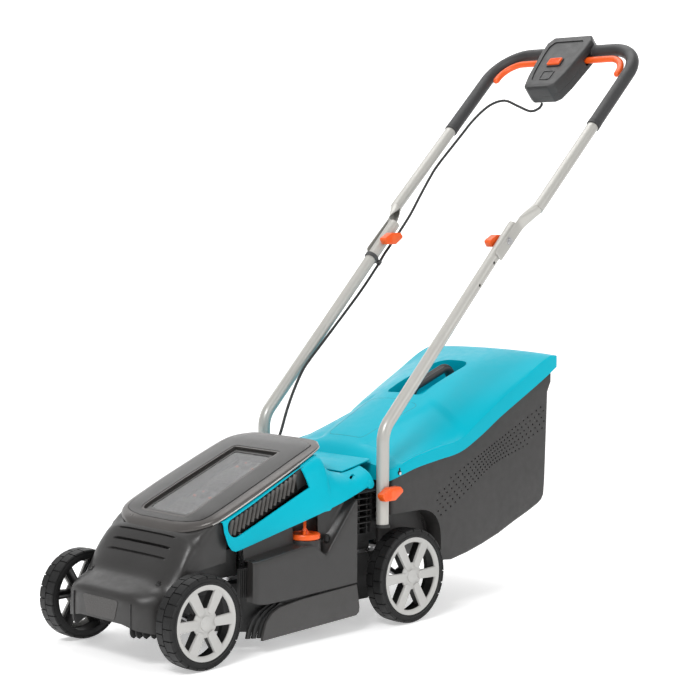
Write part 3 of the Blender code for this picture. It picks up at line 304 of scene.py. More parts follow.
def tread(bm, centre, radius, x_inner, x_outer, first):
    """One row of curved tread blocks round the tyre, each spun from its own cross-section."""
    pitch = math.tau / tread_blocks
    depth = 0.0022
    slope = 0.0016 * (1 if x_outer > x_inner else -1)
    for i in range(tread_blocks):
        turn = Matrix.Rotation(first + i * pitch, 4, "X")
        outline = [
            (x_inner, radius - depth - 0.001), (x_outer, radius - depth - 0.003), (x_outer, radius - 0.003),
            (x_outer - slope, radius - 0.0008), (x_inner, radius)
        ]
        verts = [bm.verts.new(turn @ Vector((x, 0, r))) for x, r in outline]
        face = bm.faces.new(verts)
        known = set(bm.verts) - set(verts)
        bmesh.ops.spin(
            bm, geom=[face, *face.edges, *verts], cent=(0, 0, 0), axis=(1, 0, 0), angle=pitch * 0.9, steps=3
        )
        fresh = since(bm, known)
        face_out(bm, fresh)
        bmesh.ops.translate(bm, vec=centre, verts=fresh)


for end in ("front", "rear"):
    for side, way in sides.items():
        low, high = (Vector(corner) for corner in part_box(f"tyre_{end}_{side}"))
        centre = (low + high) / 2
        radius = (high.z - low.z) / 2
        half = (high.x - low.x) / 2
        rim_low, rim_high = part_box(f"rim_{end}_{side}")
        seat = (rim_high[2] - rim_low[2]) / 2
        rim = seat - 0.0035
        body = f"wheel_{end}_{side}"

        bm = bmesh.new()
        turned(
            bm,
            [
                (half - 0.0006, rim), (half, rim + 0.0015), (half, rim + 0.004), (half - 0.0012, rim + 0.0055),
                (half - 0.0012, radius - 0.006), (half - 0.004, radius - 0.0024), (0.004 - half, radius - 0.0024),
                (0.0012 - half, radius - 0.006), (0.0002 - half, seat), (0.0002 - half, seat - 0.004),
                (half - 0.006, seat - 0.001)
            ],
            centre,
            72,
            way,
        )
        tread(bm, centre, radius, way * 0.0008, way * (half - 0.0006), 0.0)
        tread(bm, centre, radius, way * -0.0008, way * (0.0006 - half), math.pi / tread_blocks)
        show(f"tyre_tread_{end}_{side}", bm, tyre_rubber, body, [f"tyre_{end}_{side}"])

        # The black body: a barrel under the tyre, a hub tube and six plain spokes.
        bm = bmesh.new()
        turned(
            bm,
            [
                (half - 0.007, seat - 0.0002), (0.001 - half, seat - 0.0002), (0.001 - half, seat - 0.003),
                (half - 0.007, seat - 0.0045)
            ],
            centre, 64, way
        )
        turned(
            bm,
            [
                (half - 0.006, 0.006), (half - 0.006, 0.0145), (0.001 - half, 0.0125), (0.001 - half, 0.0066),
                (0.0, 0.0063)
            ],
            centre, 40, way
        )
        for i in range(spokes):
            angle = math.tau * i / spokes
            turn = Matrix.Translation(centre) @ Matrix.Rotation(angle, 4, "X")
            known = set(bm.verts)
            block(bm, (way * (half - 0.012), 0.01, -0.0075), (way * (half - 0.0075), seat - 0.002, 0.0075))
            block(bm, (way * (half - 0.03), 0.01, -0.0013), (way * (half - 0.0075), seat - 0.002, 0.0013))
            bmesh.ops.transform(bm, matrix=turn, verts=since(bm, known))
        bmesh.ops.recalc_face_normals(bm, faces=bm.faces)
        show(f"wheel_body_{end}_{side}", bm, black_plastic, body, [f"rim_{end}_{side}"])

        # The grey trim: an outer ring, a hub disc with a raised cap, and spokes that widen into the ring.
        bm = bmesh.new()
        turned(
            bm,
            [
                (half - 0.0004, rim - 0.0004), (half - 0.0065, rim - 0.0004), (half - 0.0065, rim - 0.0095),
                (half - 0.0036, rim - 0.01), (half - 0.0012, rim - 0.008), (half - 0.0004, rim - 0.006)
            ],
            centre, 72, way
        )
        turned(
            bm,
            [
                (half - 0.003, 0.0002), (half - 0.003, 0.0245), (half - 0.0042, 0.0265), (half - 0.007, 0.0265),
                (half - 0.007, 0.0002)
            ],
            centre, 48, way
        )
        turned(
            bm,
            [
                (half + 0.0, 0.0002), (half + 0.0, 0.0118), (half - 0.0008, 0.013), (half - 0.004, 0.0136),
                (half - 0.004, 0.0002)
            ],
            centre, 40, way
        )
        for i in range(spokes):
            turn = Matrix.Translation(centre) @ Matrix.Rotation(math.tau * i / spokes, 4, "X")
            known = set(bm.verts)
            verts = block(bm, (way * (half - 0.0068), 0.0185, -0.008), (way * (half - 0.0006), rim - 0.0035, 0.008))
            for v in verts:
                if v.co.y > 0.03:
                    v.co.z *= 1.3
            uprights = [
                e
                for v in verts for e in v.link_edges if abs(
                    e.verts[0].co.x - e.verts[1].co.x
                ) > 0.004 and e.verts[0].co.y < 0.03
            ]
            soften(bm, list(set(uprights)), 0.005, 4)
            crown = {
                e
                for v in since(bm, known) for e in v.link_edges if all(
                    abs(w.co.x - way * (half - 0.0006)) < 1e-5 for w in e.verts
                )
            }
            soften(bm, list(crown), 0.0013)
            bmesh.ops.transform(bm, matrix=turn, verts=since(bm, known))
        bmesh.ops.recalc_face_normals(bm, faces=bm.faces)
        show(f"wheel_trim_{end}_{side}", bm, trim_grey, body)

# ------------------------------------------------------------------ front cowl
# The dark nose moulding over the front axle, clipped to the pan and screwed at its two front corners.
# Three steps are pressed across its slope, and fins under its corners comb the grass.

dark_plastic = moulded("dark_plastic", (0.026, 0.0248, 0.0242), 0.36, relief=0.2, edge=0.0)
shadow_black = moulded("shadow_black", (0.004, 0.004, 0.004), 0.7, edge=0.0)


def between(stations, u):
    """The values of a table of stations at u, on a smooth curve through them."""
    last = len(stations) - 2
    i = next((k for k in range(last) if u < stations[k + 1][0]), last)
    before, a, b, after = stations[max(i - 1, 0)], stations[i], stations[i + 1], stations[min(i + 2, last + 1)]
    span = b[0] - a[0]
    t = min(max((u - a[0]) / span, 0.0), 1.0)
    values = []
    for p, q, r, s in zip(before[1:], a[1:], b[1:], after[1:]):
        leave = (r - p) / (b[0] - before[0]) * span if before is not a else r - q
        arrive = (s - q) / (after[0] - a[0]) * span if after is not b else r - q
        values.append(
            (2 * t**3 - 3 * t**2 + 1) * q + (t**3 - 2 * t**2 + t) * leave
            + (3 * t**2 - 2 * t**3) * r + (t**3 - t**2) * arrive
        )
    return values


def span(u, half, low, top, power, count):
    """The points of a rounded arch over the mower, from its left side to its right side."""
    points = []
    for i in range(-count, count + 1):
        angle = math.pi / 2 * (1 - abs(i) / count)
        x = half * max(math.sin(math.pi / 2 * abs(i) / count), 0.0) ** (2 / power) if i else 0.0
        z = low + (top - low) * max(math.sin(angle), 0.0) ** (2 / power)
        points.append(at(math.copysign(x, -i), u, z))
    return points


def draw_out(bm, line, rows):
    """Extrudes a line of vertices through rows of points and gives the last line back."""
    for row in rows:
        edges = [bm.edges.get(pair) or bm.edges.new(pair) for pair in zip(line, line[1:])]
        made = bmesh.ops.extrude_edge_only(bm, edges=edges)["geom"]
        fresh = {g for g in made if isinstance(g, bmesh.types.BMVert)}
        following = []
        for vert, point in zip(line, row):
            partner = next(e.other_vert(vert) for e in vert.link_edges if e.other_vert(vert) in fresh)
            partner.co = point
            following.append(partner)
        line = following
    return line


def with_mirror(points):
    """Points from the left side to the middle, and on to the right side."""
    return points + [Vector((-p.x, p.y, p.z)) for p in reversed(points[:-1])]


def skin(rows):
    """A bmesh sheet through rows of points."""
    bm = bmesh.new()
    draw_out(bm, [bm.verts.new(p) for p in rows[0]], rows[1:])
    return bm


def row_at(bm, point):
    """A sheet's vertices level with a point, from the mower's left to its right."""
    return sorted((v for v in bm.verts if abs(v.co.y - point.y) < 1e-5), key=lambda v: -v.co.x)


def face_up(bm, inside):
    """Turns a sheet's faces away from a point inside the object."""
    bmesh.ops.recalc_face_normals(bm, faces=bm.faces)
    out = sum((f.calc_center_median() - inside).dot(f.normal) * f.calc_area() for f in bm.faces)
    if out < 0:
        bmesh.ops.reverse_faces(bm, faces=bm.faces)


def settle(piece):
    """Applies a piece's modifiers."""
    bpy.context.view_layer.update()
    graph = bpy.context.evaluated_depsgraph_get()
    mesh = bpy.data.meshes.new_from_object(piece.evaluated_get(graph), depsgraph=graph)
    piece.modifiers.clear()
    piece.data = mesh
    return piece


def wall(piece, thickness, ease=0.0):
    """Gives a sheet its wall, inwards, and eases its cut edges."""
    solid = piece.modifiers.new("wall", "SOLIDIFY")
    solid.thickness = thickness
    solid.offset = -1
    if ease:
        soft = piece.modifiers.new("ease", "BEVEL")
        soft.width = ease
        soft.segments = 2
        soft.limit_method = "ANGLE"
        soft.angle_limit = math.radians(50)
    return settle(piece)


def carve(piece, bm, angle=34):
    """Cuts a tool out of a piece and applies the result."""
    bmesh.ops.recalc_face_normals(bm, faces=bm.faces)
    mesh = bpy.data.meshes.new("tool")
    bm.to_mesh(mesh)
    bm.free()
    tool = bpy.data.objects.new("tool", mesh)
    bpy.context.scene.collection.objects.link(tool)
    cut = piece.modifiers.new("cut", "BOOLEAN")
    cut.operation = "DIFFERENCE"
    cut.object = tool
    settle(piece)
    bpy.data.objects.remove(tool)
    piece.data.shade_smooth()
    piece.data.set_sharp_from_angle(angle=math.radians(angle))
    return piece


def thicken(bm, verts, faces, height, place):
    """Draws flat faces up to a height as a closed solid and sets it in its place."""
    made = bmesh.ops.extrude_face_region(bm, geom=faces)["geom"]
    fresh = [g for g in made if isinstance(g, bmesh.types.BMVert)]
    bmesh.ops.translate(bm, vec=(0, 0, height), verts=fresh)
    face_out(bm, verts + fresh)
    bmesh.ops.transform(bm, matrix=place, verts=verts + fresh)


def prism(bm, outline, low, high, place):
    """A flat outline of (a, b) drawn from low to high along the third axis of a place."""
    verts = [bm.verts.new((a, b, low)) for a, b in outline]
    thicken(bm, verts, [bm.faces.new(verts)], high - low, place)


# From (u, z, x) and from (x, z, u) to the world.
side_on = Matrix(((0, 0, 1, 0), (1, 0, 0, axle_y), (0, 1, 0, 0), (0, 0, 0, 1)))
face_on = Matrix(((1, 0, 0, 0), (0, 0, 1, axle_y), (0, 1, 0, 0), (0, 0, 0, 1)))


def side_plate(bm, outline, way, inner, outer):
    """A side view's outline of (u, z) made solid between two distances from the middle plane."""
    prism(bm, outline, *sorted((way * inner, way * outer)), side_on)


hood_stations = [
    (0.0260, 0.060, 0.2215, 0.2262),
    (0.0300, 0.070, 0.2260, 0.2350),
    (0.0400, 0.096, 0.2310, 0.2430),
    (0.0550, 0.118, 0.2380, 0.2500),
    (0.0750, 0.1305, 0.2460, 0.2600),
    (0.1100, 0.1340, 0.2607, 0.2750),
    (0.1620, 0.1350, 0.2827, 0.2970),
    (0.2170, 0.1340, 0.3061, 0.3190),
    (0.2700, 0.1320, 0.3286, 0.3405),
    (0.3200, 0.1280, 0.3498, 0.3590),
    (0.3450, 0.1180, 0.3580, 0.3660),
    (0.3620, 0.0950, 0.3640, 0.3695),
]
nose_stations = [
    (-0.0870, 0.060, 0.076, 0.1215, 5.0),
    (-0.0862, 0.078, 0.071, 0.1250, 5.5),
    (-0.0790, 0.100, 0.068, 0.1315, 5.5),
    (-0.0550, 0.121, 0.062, 0.141, 5.5),
    (-0.0310, 0.1285, 0.062, 0.1515, 5.2),
    (-0.0150, 0.1285, 0.100, 0.1735, 4.8),
    (0.0000, 0.1285, 0.145, 0.1935, 4.6),
    (0.0213, 0.1288, 0.160, 0.2235, 4.5),
    (0.0330, 0.1296, 0.165, 0.2315, 4.5),
]
steps_at = (0.0205, 0.0075, -0.005)
step_half = 0.079
cowl_end = 0.033
arch_power = 0.444
thick_wall, thin_wall = 0.0028, 0.0022
screw_x, screw_u = 0.0957, -0.031
rows = []
places = [-0.087 + 0.0047 * i for i in range(26)] + [
    step + d for step in steps_at for d in (-0.0018, -0.0008, 0.0002, 0.0012)
]
for u in sorted(p for p in places if p <= cowl_end):
    half_width, low_z, top_z, power = between(nose_stations, u)
    row = span(u, half_width, low_z, top_z, power, 22)
    for step in steps_at:
        sunk = {-0.0018: 0.0, -0.0008: 0.0034, 0.0002: 0.0038, 0.0012: 0.0}.get(round(u - step, 4), 0.0)
        for point in row:
            if abs(point.x) < step_half:
                point.y += sunk * 0.8
                point.z -= sunk * 0.6
    rows.append(row)
bm = skin(rows)
bm.faces.new(row_at(bm, rows[0][0]))
# The side walls run back from the nose, over a rounded shoulder, to the hood's edge.
last_row = row_at(bm, rows[-1][0])
shoulder = 18
for way, line in ((1, last_row[:shoulder]), (-1, last_row[: -shoulder - 1 : -1])):
    behind = []
    for u in (0.038, 0.044, 0.051, 0.059, 0.068, 0.078, 0.088, 0.098):
        rim_half, rim_low, _ = between(hood_stations, u)
        low_z = 0.165 + 0.108 * (u - cowl_end)
        turns = [math.pi / 2 * i / (shoulder - 1) for i in range(shoulder)]
        inner = min(rim_half - 0.003, 0.128)
        high_z = rim_low - 0.0012
        across = [inner + (0.13 - inner) * math.cos(t) ** arch_power for t in turns]
        upward = [low_z + (high_z - low_z) * math.sin(t) ** arch_power for t in turns]
        behind.append([at(way * x, u, z) for x, z in zip(across, upward)])
    draw_out(bm, line, behind)
face_up(bm, at(0, 0.0, 0.1))
cowl = show("nose_cowl", bm, dark_plastic, "deck", ["front_cowl"], 28)
wall(cowl, thick_wall)
bm = bmesh.new()
for way in sides.values():
    block(bm, at(way * 0.113, -0.0375, 0.05), at(way * 0.136, -0.0225, 0.1104))
    disc(bm, at(way * screw_x, screw_u, 0.158), 0.0042, 0.03, "Z", 20)
carve(cowl, bm)

bm = bmesh.new()
for way in sides.values():
    disc(bm, at(way * screw_x, screw_u, 0.1415), 0.006, 0.01, "Z", 20)
    disc(bm, at(way * screw_x, screw_u, 0.147), 0.003, 0.002, "Z", 6)
    for i in range(4):
        x = way * (0.082 + 0.0098 * i)
        front = -0.0855 + 0.004 * i + 0.0012 * i * i
        fin = [
            (front, 0.115), (front, 0.062), (front + 0.003, 0.056), (front + 0.008, 0.053), (front + 0.014, 0.056),
            (front + 0.04, 0.068), (front + 0.04, 0.115)
        ]
        prism(bm, fin, x - 0.0012, x + 0.0012, side_on)
show("nose_fins", bm, black_plastic, "deck")

# A black block fills the nose behind its front wall, and black plates close the sides behind the wheels: dark fills
# that paint the shade seen through these gaps.
bm = bmesh.new()
block(bm, at(-0.108, -0.052, 0.08), at(0.108, -0.012, 0.112), wide=0.002)
for way in sides.values():
    low, high = sorted((way * 0.118, way * 0.12))
    block(bm, at(low, 0.014, 0.14), at(high, 0.132, 0.192))
show("nose_shade_fill", bm, black_plastic, "deck")

# The stippled panel in the middle of the nose.
stippled, tree, shader, where = shade("stippled_plastic", 0.5)
cells = cells_of(tree, where, 420.0)
tone = two_tone(tree, noise_of(tree, where, 12.0), (0.058, 0.055, 0.053), (0.068, 0.064, 0.062))
link_up(tree, tone, "Color", shader, "Base Color")
bump_up(tree, cells, "Distance", shader, 0.5, 0.0006)
panel = [
    (-0.05, 0.113), (-0.047, 0.1165), (0.047, 0.1165), (0.05, 0.113), (0.041, 0.0835), (0.038, 0.0805),
    (-0.038, 0.0805), (-0.041, 0.0835)
]
bm = bmesh.new()
prism(bm, panel, -0.0879, -0.0869, face_on)
show("nose_panel", bm, stippled, "deck")

# ------------------------------------------------------------------ battery bay and packs
# Two slide-in battery packs sit in a black bay under the hood.
# Each is a dark ABS case with grip ribs, a round latch and small orange marks.

orange_plastic = moulded("orange_plastic", (0.86, 0.105, 0.008), 0.34, relief=0.12, tone=0.03, edge=0.3)
# The packs' edges are lightened strongly: a painted highlight on them.
pack_grey = moulded("pack_grey", (0.03, 0.029, 0.029), 0.36, edge=0.8)
dress(black_plastic, "battery_bay")


def slope(u, z, degrees):
    """From (x, along a slope, out of it) to the world, starting on the middle plane."""
    return Matrix.Translation(at(0, u, z)) @ Matrix.Rotation(math.radians(degrees), 4, "X")


flap_place = slope(0.063, 0.2505, 22.25)
flap_long = 0.2463
pack_long = 0.10815
for end, start in (("front", 0.01), ("rear", 0.018 + pack_long)):
    bm = bmesh.new()
    block(bm, (-0.044, start, -0.0577), (0.044, start + pack_long, -0.017), wide=0.004)
    block(bm, (-0.031, start + 0.008, -0.02), (0.031, start + 0.07, -0.011), wide=0.0035)
    for i in range(6):
        block(
            bm, (-0.026, start + 0.014 + 0.0065 * i, -0.0125), (0.026, start + 0.017 + 0.0065 * i, -0.0092),
            wide=0.0007
        )
    disc(bm, (0, start + 0.088, -0.014), 0.013, 0.007, "Z", 40, top=0.0105)
    disc(bm, (0, start + 0.088, -0.0098), 0.006, 0.0016, "Z", 32, top=0.005)
    for way in sides.values():
        block(
            bm, (way * 0.036 - 0.003, start + 0.01, -0.018), (way * 0.036 + 0.003, start + 0.098, -0.0125),
            wide=0.0012
        )
    bmesh.ops.transform(bm, matrix=flap_place, verts=bm.verts)
    show(f"battery_case_{end}", bm, pack_grey, "deck", [f"battery_{end}"])
    bm = bmesh.new()
    for way in sides.values():
        block(
            bm, (way * 0.022 - 0.0035, start + 0.08, -0.0176), (way * 0.022 + 0.0035, start + 0.0835, -0.015),
            wide=0.0006
        )
    disc(bm, (0, start + 0.088, -0.0088), 0.0022, 0.0008, "Z", 20)
    bmesh.ops.transform(bm, matrix=flap_place, verts=bm.verts)
    show(f"battery_marks_{end}", bm, orange_plastic, "deck")

# ------------------------------------------------------------------ hood
# The grey-brown hood over the motor and the batteries, moulded in satin ABS with a metallic flake.
# It drops onto the cowl and the cover, with a bright bead round its rim.


def flaked(name, colour, roughness, flake=0.35):
    """Plastic with a fine metallic flake under a satin skin."""
    made, tree, shader, where = shade(name, roughness, flake)
    blend(tree, cells_of(tree, where, 2200.0), [c * 0.9 for c in colour], [c * 1.25 for c in colour], shader)
    rough_range(tree, noise_of(tree, where, 35.0, 4.0), shader, roughness - 0.03, roughness + 0.05)
    bump_up(tree, noise_of(tree, where, 900.0, 2.0), "Fac", shader, 0.06, 0.0002)
    return made


hood_plastic = flaked("hood_plastic", (0.085, 0.079, 0.075), 0.3)
bead_plastic = flaked("bead_plastic", (0.36, 0.35, 0.34), 0.24, 0.7)
frame_gloss = flaked("frame_gloss", (0.03, 0.0285, 0.0275), 0.2, 0.25)


def rounded(corners, radius, steps=6):
    """A closed outline with each corner turned into a curve; a list of radii gives one for each corner."""
    radii = radius if isinstance(radius, (list, tuple)) else [radius] * len(corners)
    points = []
    for i, corner in enumerate(corners):
        here = Vector(corner)
        to_before = (Vector(corners[i - 1]) - here).normalized()
        to_after = (Vector(corners[(i + 1) % len(corners)]) - here).normalized()
        reach = radii[i] / math.tan(to_before.angle(to_after) / 2)
        first, last = here + to_before * reach, here + to_after * reach
        for k in range(steps + 1):
            t = k / steps
            points.append(first * (1 - t) ** 2 + here * 2 * t * (1 - t) + last * t * t)
    return [(p.x, p.y) for p in points]


def frame_of(bm, outer, inner, low, high, place):
    """A flat frame between two outlines with the same number of points, drawn from low to high."""
    loops = [[bm.verts.new((a, b, low)) for a, b in outline] for outline in (outer, inner)]
    edges = [bm.edges.new(pair) for loop in loops for pair in zip(loop, loop[1:] + loop[:1])]
    thicken(bm, loops[0] + loops[1], bmesh.ops.bridge_loops(bm, edges=edges)["faces"], high - low, place)


def flap_outline(grow, radius, rear):
    """The flap's outline on its slope, grown all round."""
    corners = [
        (-0.0655 - grow, -grow), (0.0655 + grow, -grow), (0.06 + grow, flap_long + grow),
        (-0.06 - grow, flap_long + grow)
    ]
    return rounded(corners, [radius, radius, rear, rear], 8)


def rod(points, radius, resolution=4, caps=True):
    """A bmesh of a round bar along the points."""
    curve = bpy.data.curves.new("rod", "CURVE")
    curve.dimensions = "3D"
    curve.bevel_depth = radius
    curve.bevel_resolution = resolution
    curve.use_fill_caps = caps
    spline = curve.splines.new("POLY")
    spline.points.add(len(points) - 1)
    for place, point in zip(spline.points, points):
        place.co = (*point, 1)
    line = bpy.data.objects.new("rod", curve)
    bpy.context.scene.collection.objects.link(line)
    bpy.context.view_layer.update()
    mesh = bpy.data.meshes.new_from_object(line.evaluated_get(bpy.context.evaluated_depsgraph_get()))
    bm = bmesh.new()
    bm.from_mesh(mesh)
    bpy.data.objects.remove(line)
    bmesh.ops.remove_doubles(bm, verts=bm.verts, dist=1e-6)
    bmesh.ops.recalc_face_normals(bm, faces=bm.faces)
    return bm


places = [0.026 + 0.0084 * i for i in range(41)]
rows = [span(u, *between(hood_stations, u), 4, 20) for u in places]
bm = skin(rows)
face_up(bm, at(0, 0.2, 0.15))
hood = show("hood_shell", bm, hood_plastic, "deck", ["hood"], 40)
wall(hood, thin_wall)
bm = bmesh.new()
prism(bm, flap_outline(0.0015, 0.016, 0.003), -0.03, 0.03, flap_place)
carve(hood, bm)


def inlay(name, share, lift, material):
    """A thin glossy skin over the middle of the hood, with round ends and the flap's opening cut out."""
    lines = []
    for i in range(57):
        u = 0.042 + 0.306 * i / 56
        half, low, top = between(hood_stations, u)
        ends = min((u - 0.0415) / 0.022, (0.3485 - u) / 0.016, 1.0)
        limit = share * half * (0.42 + 0.58 * math.sqrt(max(1 - (1 - ends) ** 2, 0.0)))
        xs = [limit * (1 - k / 16) for k in range(33)]
        lines.append([at(x, u, low + (top - low) * (1 - (abs(x) / half) ** 4) ** 0.25 + lift) for x in xs])
    bm = skin(lines)
    face_up(bm, at(0, 0.2, 0.15))
    piece = show(name, bm, material, "deck", angle=40)
    wall(piece, 0.001)
    bm = bmesh.new()
    prism(bm, flap_outline(0.0064, 0.022, 0.01), -0.03, 0.03, flap_place)
    carve(piece, bm)


inlay("hood_seam", 0.868, 0.0003, shadow_black)
inlay("hood_inlay", 0.85, 0.0007, frame_gloss)

for side, way in sides.items():
    points = [Vector((way * (p.x - 0.0008), p.y, p.z + 0.0008)) for p in [row[0] for row in rows[5:]]]
    show(f"hood_bead_{side}", rod(points, 0.0017, 3), bead_plastic, "deck")
bm = bmesh.new()
frame_of(bm, flap_outline(0.0065, 0.022, 0.01), flap_outline(0.0017, 0.017, 0.0032), -0.0022, 0.001, flap_place)
show("flap_surround", bm, hood_plastic, "deck")

# ------------------------------------------------------------------ battery flap
# A clear window in a dark glossy frame, hinged at its rear edge.
# The window is clear polycarbonate, welded into the frame.

window_clear, tree, shader, where = shade("window_clear", 0.06, Transmission_Weight=1.0, IOR=1.49)
tint = two_tone(tree, noise_of(tree, where, 9.0), (0.6, 0.6, 0.61), (0.68, 0.68, 0.69))
link_up(tree, tint, "Color", shader, "Base Color")
rough_range(tree, noise_of(tree, where, 22.0, 4.0), shader, 0.04, 0.1)

bm = bmesh.new()
frame_of(bm, flap_outline(0.0, 0.0155, 0.009), flap_outline(-0.0105, 0.012, 0.006), -0.003, 0.0, flap_place)
soften(bm, square_edges(bm), 0.0008)
show("flap_frame", bm, frame_gloss, "battery_flap")
bm = bmesh.new()
prism(bm, flap_outline(-0.0102, 0.012, 0.006), -0.0026, -0.0008, flap_place)
show("flap_window", bm, window_clear, "battery_flap", ["battery_flap"])

# ------------------------------------------------------------------ cover
# The turquoise cover wraps round both vents and closes the deck behind the hood.
# It is one glossy moulding, held by two screws under the post brackets.

cyan_plastic = moulded(
    "cyan_plastic", (0.0, 0.425, 0.545), 0.36, relief=0.1, tone=0.03, edge=0.0, Specular_IOR_Level=0.1
)


def cover_low(u):
    """Height of the cover's lower side edge."""
    return 0.194 + 0.2454 * (u - 0.1215) if u < 0.3 else 0.2378 + 0.33 * (u - 0.3)


cover_front = [
    (0.0842, 0.1410, 0.2300, 0.2400),
    (0.0865, 0.1425, 0.2180, 0.2445),
    (0.0920, 0.1435, 0.2060, 0.2485),
    (0.0990, 0.1442, 0.1960, 0.2520),
    (0.1080, 0.1447, 0.1918, 0.2558),
    (0.1250, 0.1460, 0.1949, 0.2630),
    (0.1620, 0.1490, 0.2039, 0.2787),
    (0.2170, 0.1530, 0.2174, 0.3020),
    (0.2700, 0.1580, 0.2304, 0.3245),
    (0.3180, 0.1640, 0.2437, 0.3449),
]
cover_rear = [
    (0.3340, 0.1660, 0.3340, 0.3340),
    (0.3430, 0.1676, 0.3258, 0.3262),
    (0.3520, 0.1690, 0.3200, 0.3210),
    (0.3640, 0.1700, 0.3130, 0.3145),
    (0.3750, 0.1705, 0.3090, 0.3100),
    (0.3960, 0.1705, 0.3060, 0.3075),
    (0.4200, 0.1700, 0.3090, 0.3090),
    (0.4470, 0.1660, 0.3150, 0.3150),
]
across = 9
flat_half = 0.126


def flank(u, half, low, x_top, top, fullness):
    """Points up one side of the cover, from its lower edge to its top."""
    start, end = at(half, u, low), at(x_top, u, top)
    middle = at(x_top + (half - x_top) * fullness, u, low + (top - low) * 0.72)
    points = []
    for i in range(across):
        t = i / (across - 1)
        points.append(start * (1 - t) ** 2 + middle * 2 * t * (1 - t) + end * t * t)
    return points


def full_row(u):
    """One cross-section of the cover behind the hood, from side to side."""
    half, shoulder, top = between(cover_rear, u)
    left = flank(u, half, cover_low(u), flat_half, shoulder, 0.85)
    left += [at(flat_half * (1 - i / 7), u, shoulder + (top - shoulder) * i / 7) for i in range(1, 8)]
    return with_mirror(left[:-1] + [at(0, u, top)])


full = [0.334 + 0.0031 * i for i in range(21)]
bm = skin([full_row(u) for u in full])
ends = {}
for name, u in (("front", full[0]), ("rear", full[-1])):
    line = row_at(bm, at(0, u, 0))
    ends[name] = (line[:across], line[: -across - 1 : -1])
for side, way in sides.items():
    turn = Matrix.Diagonal((way, 1, 1))
    ahead = []
    for i in range(31):
        u = 0.33 - 0.2458 * i / 30
        half, low, _ = between(cover_front, u)
        rim_half, rim_low, _ = between(hood_stations, min(u, 0.318))
        line = flank(u, half, low, rim_half + 0.0022, rim_low - 0.0006, 1.02)
        ahead.append([turn @ p for p in line[:-1] + [at(rim_half - 0.005, u, rim_low - 0.0014)]])
    draw_out(bm, ends["front"][side == "right"], ahead)
    behind = []
    for i in range(1, 12):
        u = 0.396 + 0.051 * i / 11
        half, shoulder, _ = between(cover_rear, u)
        behind.append([turn @ p for p in flank(u, half, cover_low(u), flat_half, shoulder, 0.85)])
    draw_out(bm, ends["rear"][side == "right"], behind)
face_up(bm, at(0, 0.3, 0.1))
cover = show("cover_shell", bm, cyan_plastic, "deck", ["top_cover"], 32)
wall(cover, 0.003, 0.0009)


vent_slope = math.radians(23.2)


def vent_outline(inset):
    """The vent's outline in (u, z): round at the front and square at the rear."""
    front = Vector((0.1095, 0.235))
    radius = 0.0172 - inset
    points = []
    for i in range(13):
        turn = vent_slope + math.pi / 2 + math.pi * i / 12
        points.append((front.x + radius * math.cos(turn), front.y + radius * math.sin(turn)))
    along = Vector((math.cos(vent_slope), math.sin(vent_slope)))
    over = Vector((-along.y, along.x))
    for half in (-1, 1):
        corner = front + along * (0.188 - inset + 0.004 * half) + over * half * (0.0176 - inset)
        points.append((corner.x, corner.y))
    return points


bm = bmesh.new()
for way in sides.values():
    prism(bm, vent_outline(0), way * 0.148 - 0.02, way * 0.148 + 0.02, side_on)
    prism(
        bm, rounded([(0.399, 0.293), (0.415, 0.3), (0.414, 0.3045), (0.3975, 0.2975)], 0.002), way * 0.14,
        way * 0.18, side_on
    )
carve(cover, bm)

# The round bosses in front of the posts.
bm = bmesh.new()
for way in sides.values():
    disc(bm, at(way * 0.157, 0.4385, 0.283), 0.0085, 0.022, "X", 40)
soften(bm, square_edges(bm), 0.0022, 3)
show("post_bosses", bm, cyan_plastic, "deck")

# ------------------------------------------------------------------ side vents
# Each grille is a dark moulded panel with slanting fins and a plain tab at its rear.
# It is clipped in behind the cover's long opening, and cooling air leaves the motor through it.

fin_plastic = flaked("fin_plastic", (0.085, 0.08, 0.076), 0.34, 0.2)
fin_pitch = 0.0112
fin_half = Vector((0.0036, 0.001, 0.0172))
for side, way in sides.items():
    bm = bmesh.new()
    prism(bm, vent_outline(-0.003), way * 0.1318, way * 0.133, side_on)
    show(f"grille_back_{side}", bm, shadow_black, "deck", [f"vent_grille_{side}"])
    bm = bmesh.new()
    for i in range(15):
        middle = at(way * 0.1362, 0.1035 + fin_pitch * i, 0.233 + fin_pitch * i * math.tan(vent_slope))
        lean = Matrix.Rotation(math.radians(-14), 4, "X") @ Matrix.Rotation(way * math.radians(38), 4, "Z")
        block(bm, middle - fin_half, middle + fin_half, lean, 0.0004)
    show(f"grille_fins_{side}", bm, fin_plastic, "deck")
    bm = bmesh.new()
    prism(
        bm, [(0.27, 0.286), (0.2945, 0.2965), (0.2855, 0.329), (0.264, 0.3195)], way * 0.133, way * 0.1368, side_on
    )
    show(f"grille_tab_{side}", bm, dark_plastic, "deck")

# ------------------------------------------------------------------ deck sides
# Dark side mouldings between the wheels, screwed to the pan, each with a ledge along its top.
# The left one carries the height knob on a round boss, and a scooped pocket runs up behind it.

ridge_stations = [
    (0.13, 0.1715), (0.18, 0.1768), (0.262, 0.186), (0.284, 0.185), (0.304, 0.169), (0.316, 0.165), (0.33, 0.182),
    (0.392, 0.256), (0.396, 0.258)
]
side_low = [(0.13, 0.0975), (0.14, 0.0945), (0.165, 0.0915), (0.396, 0.0985)]


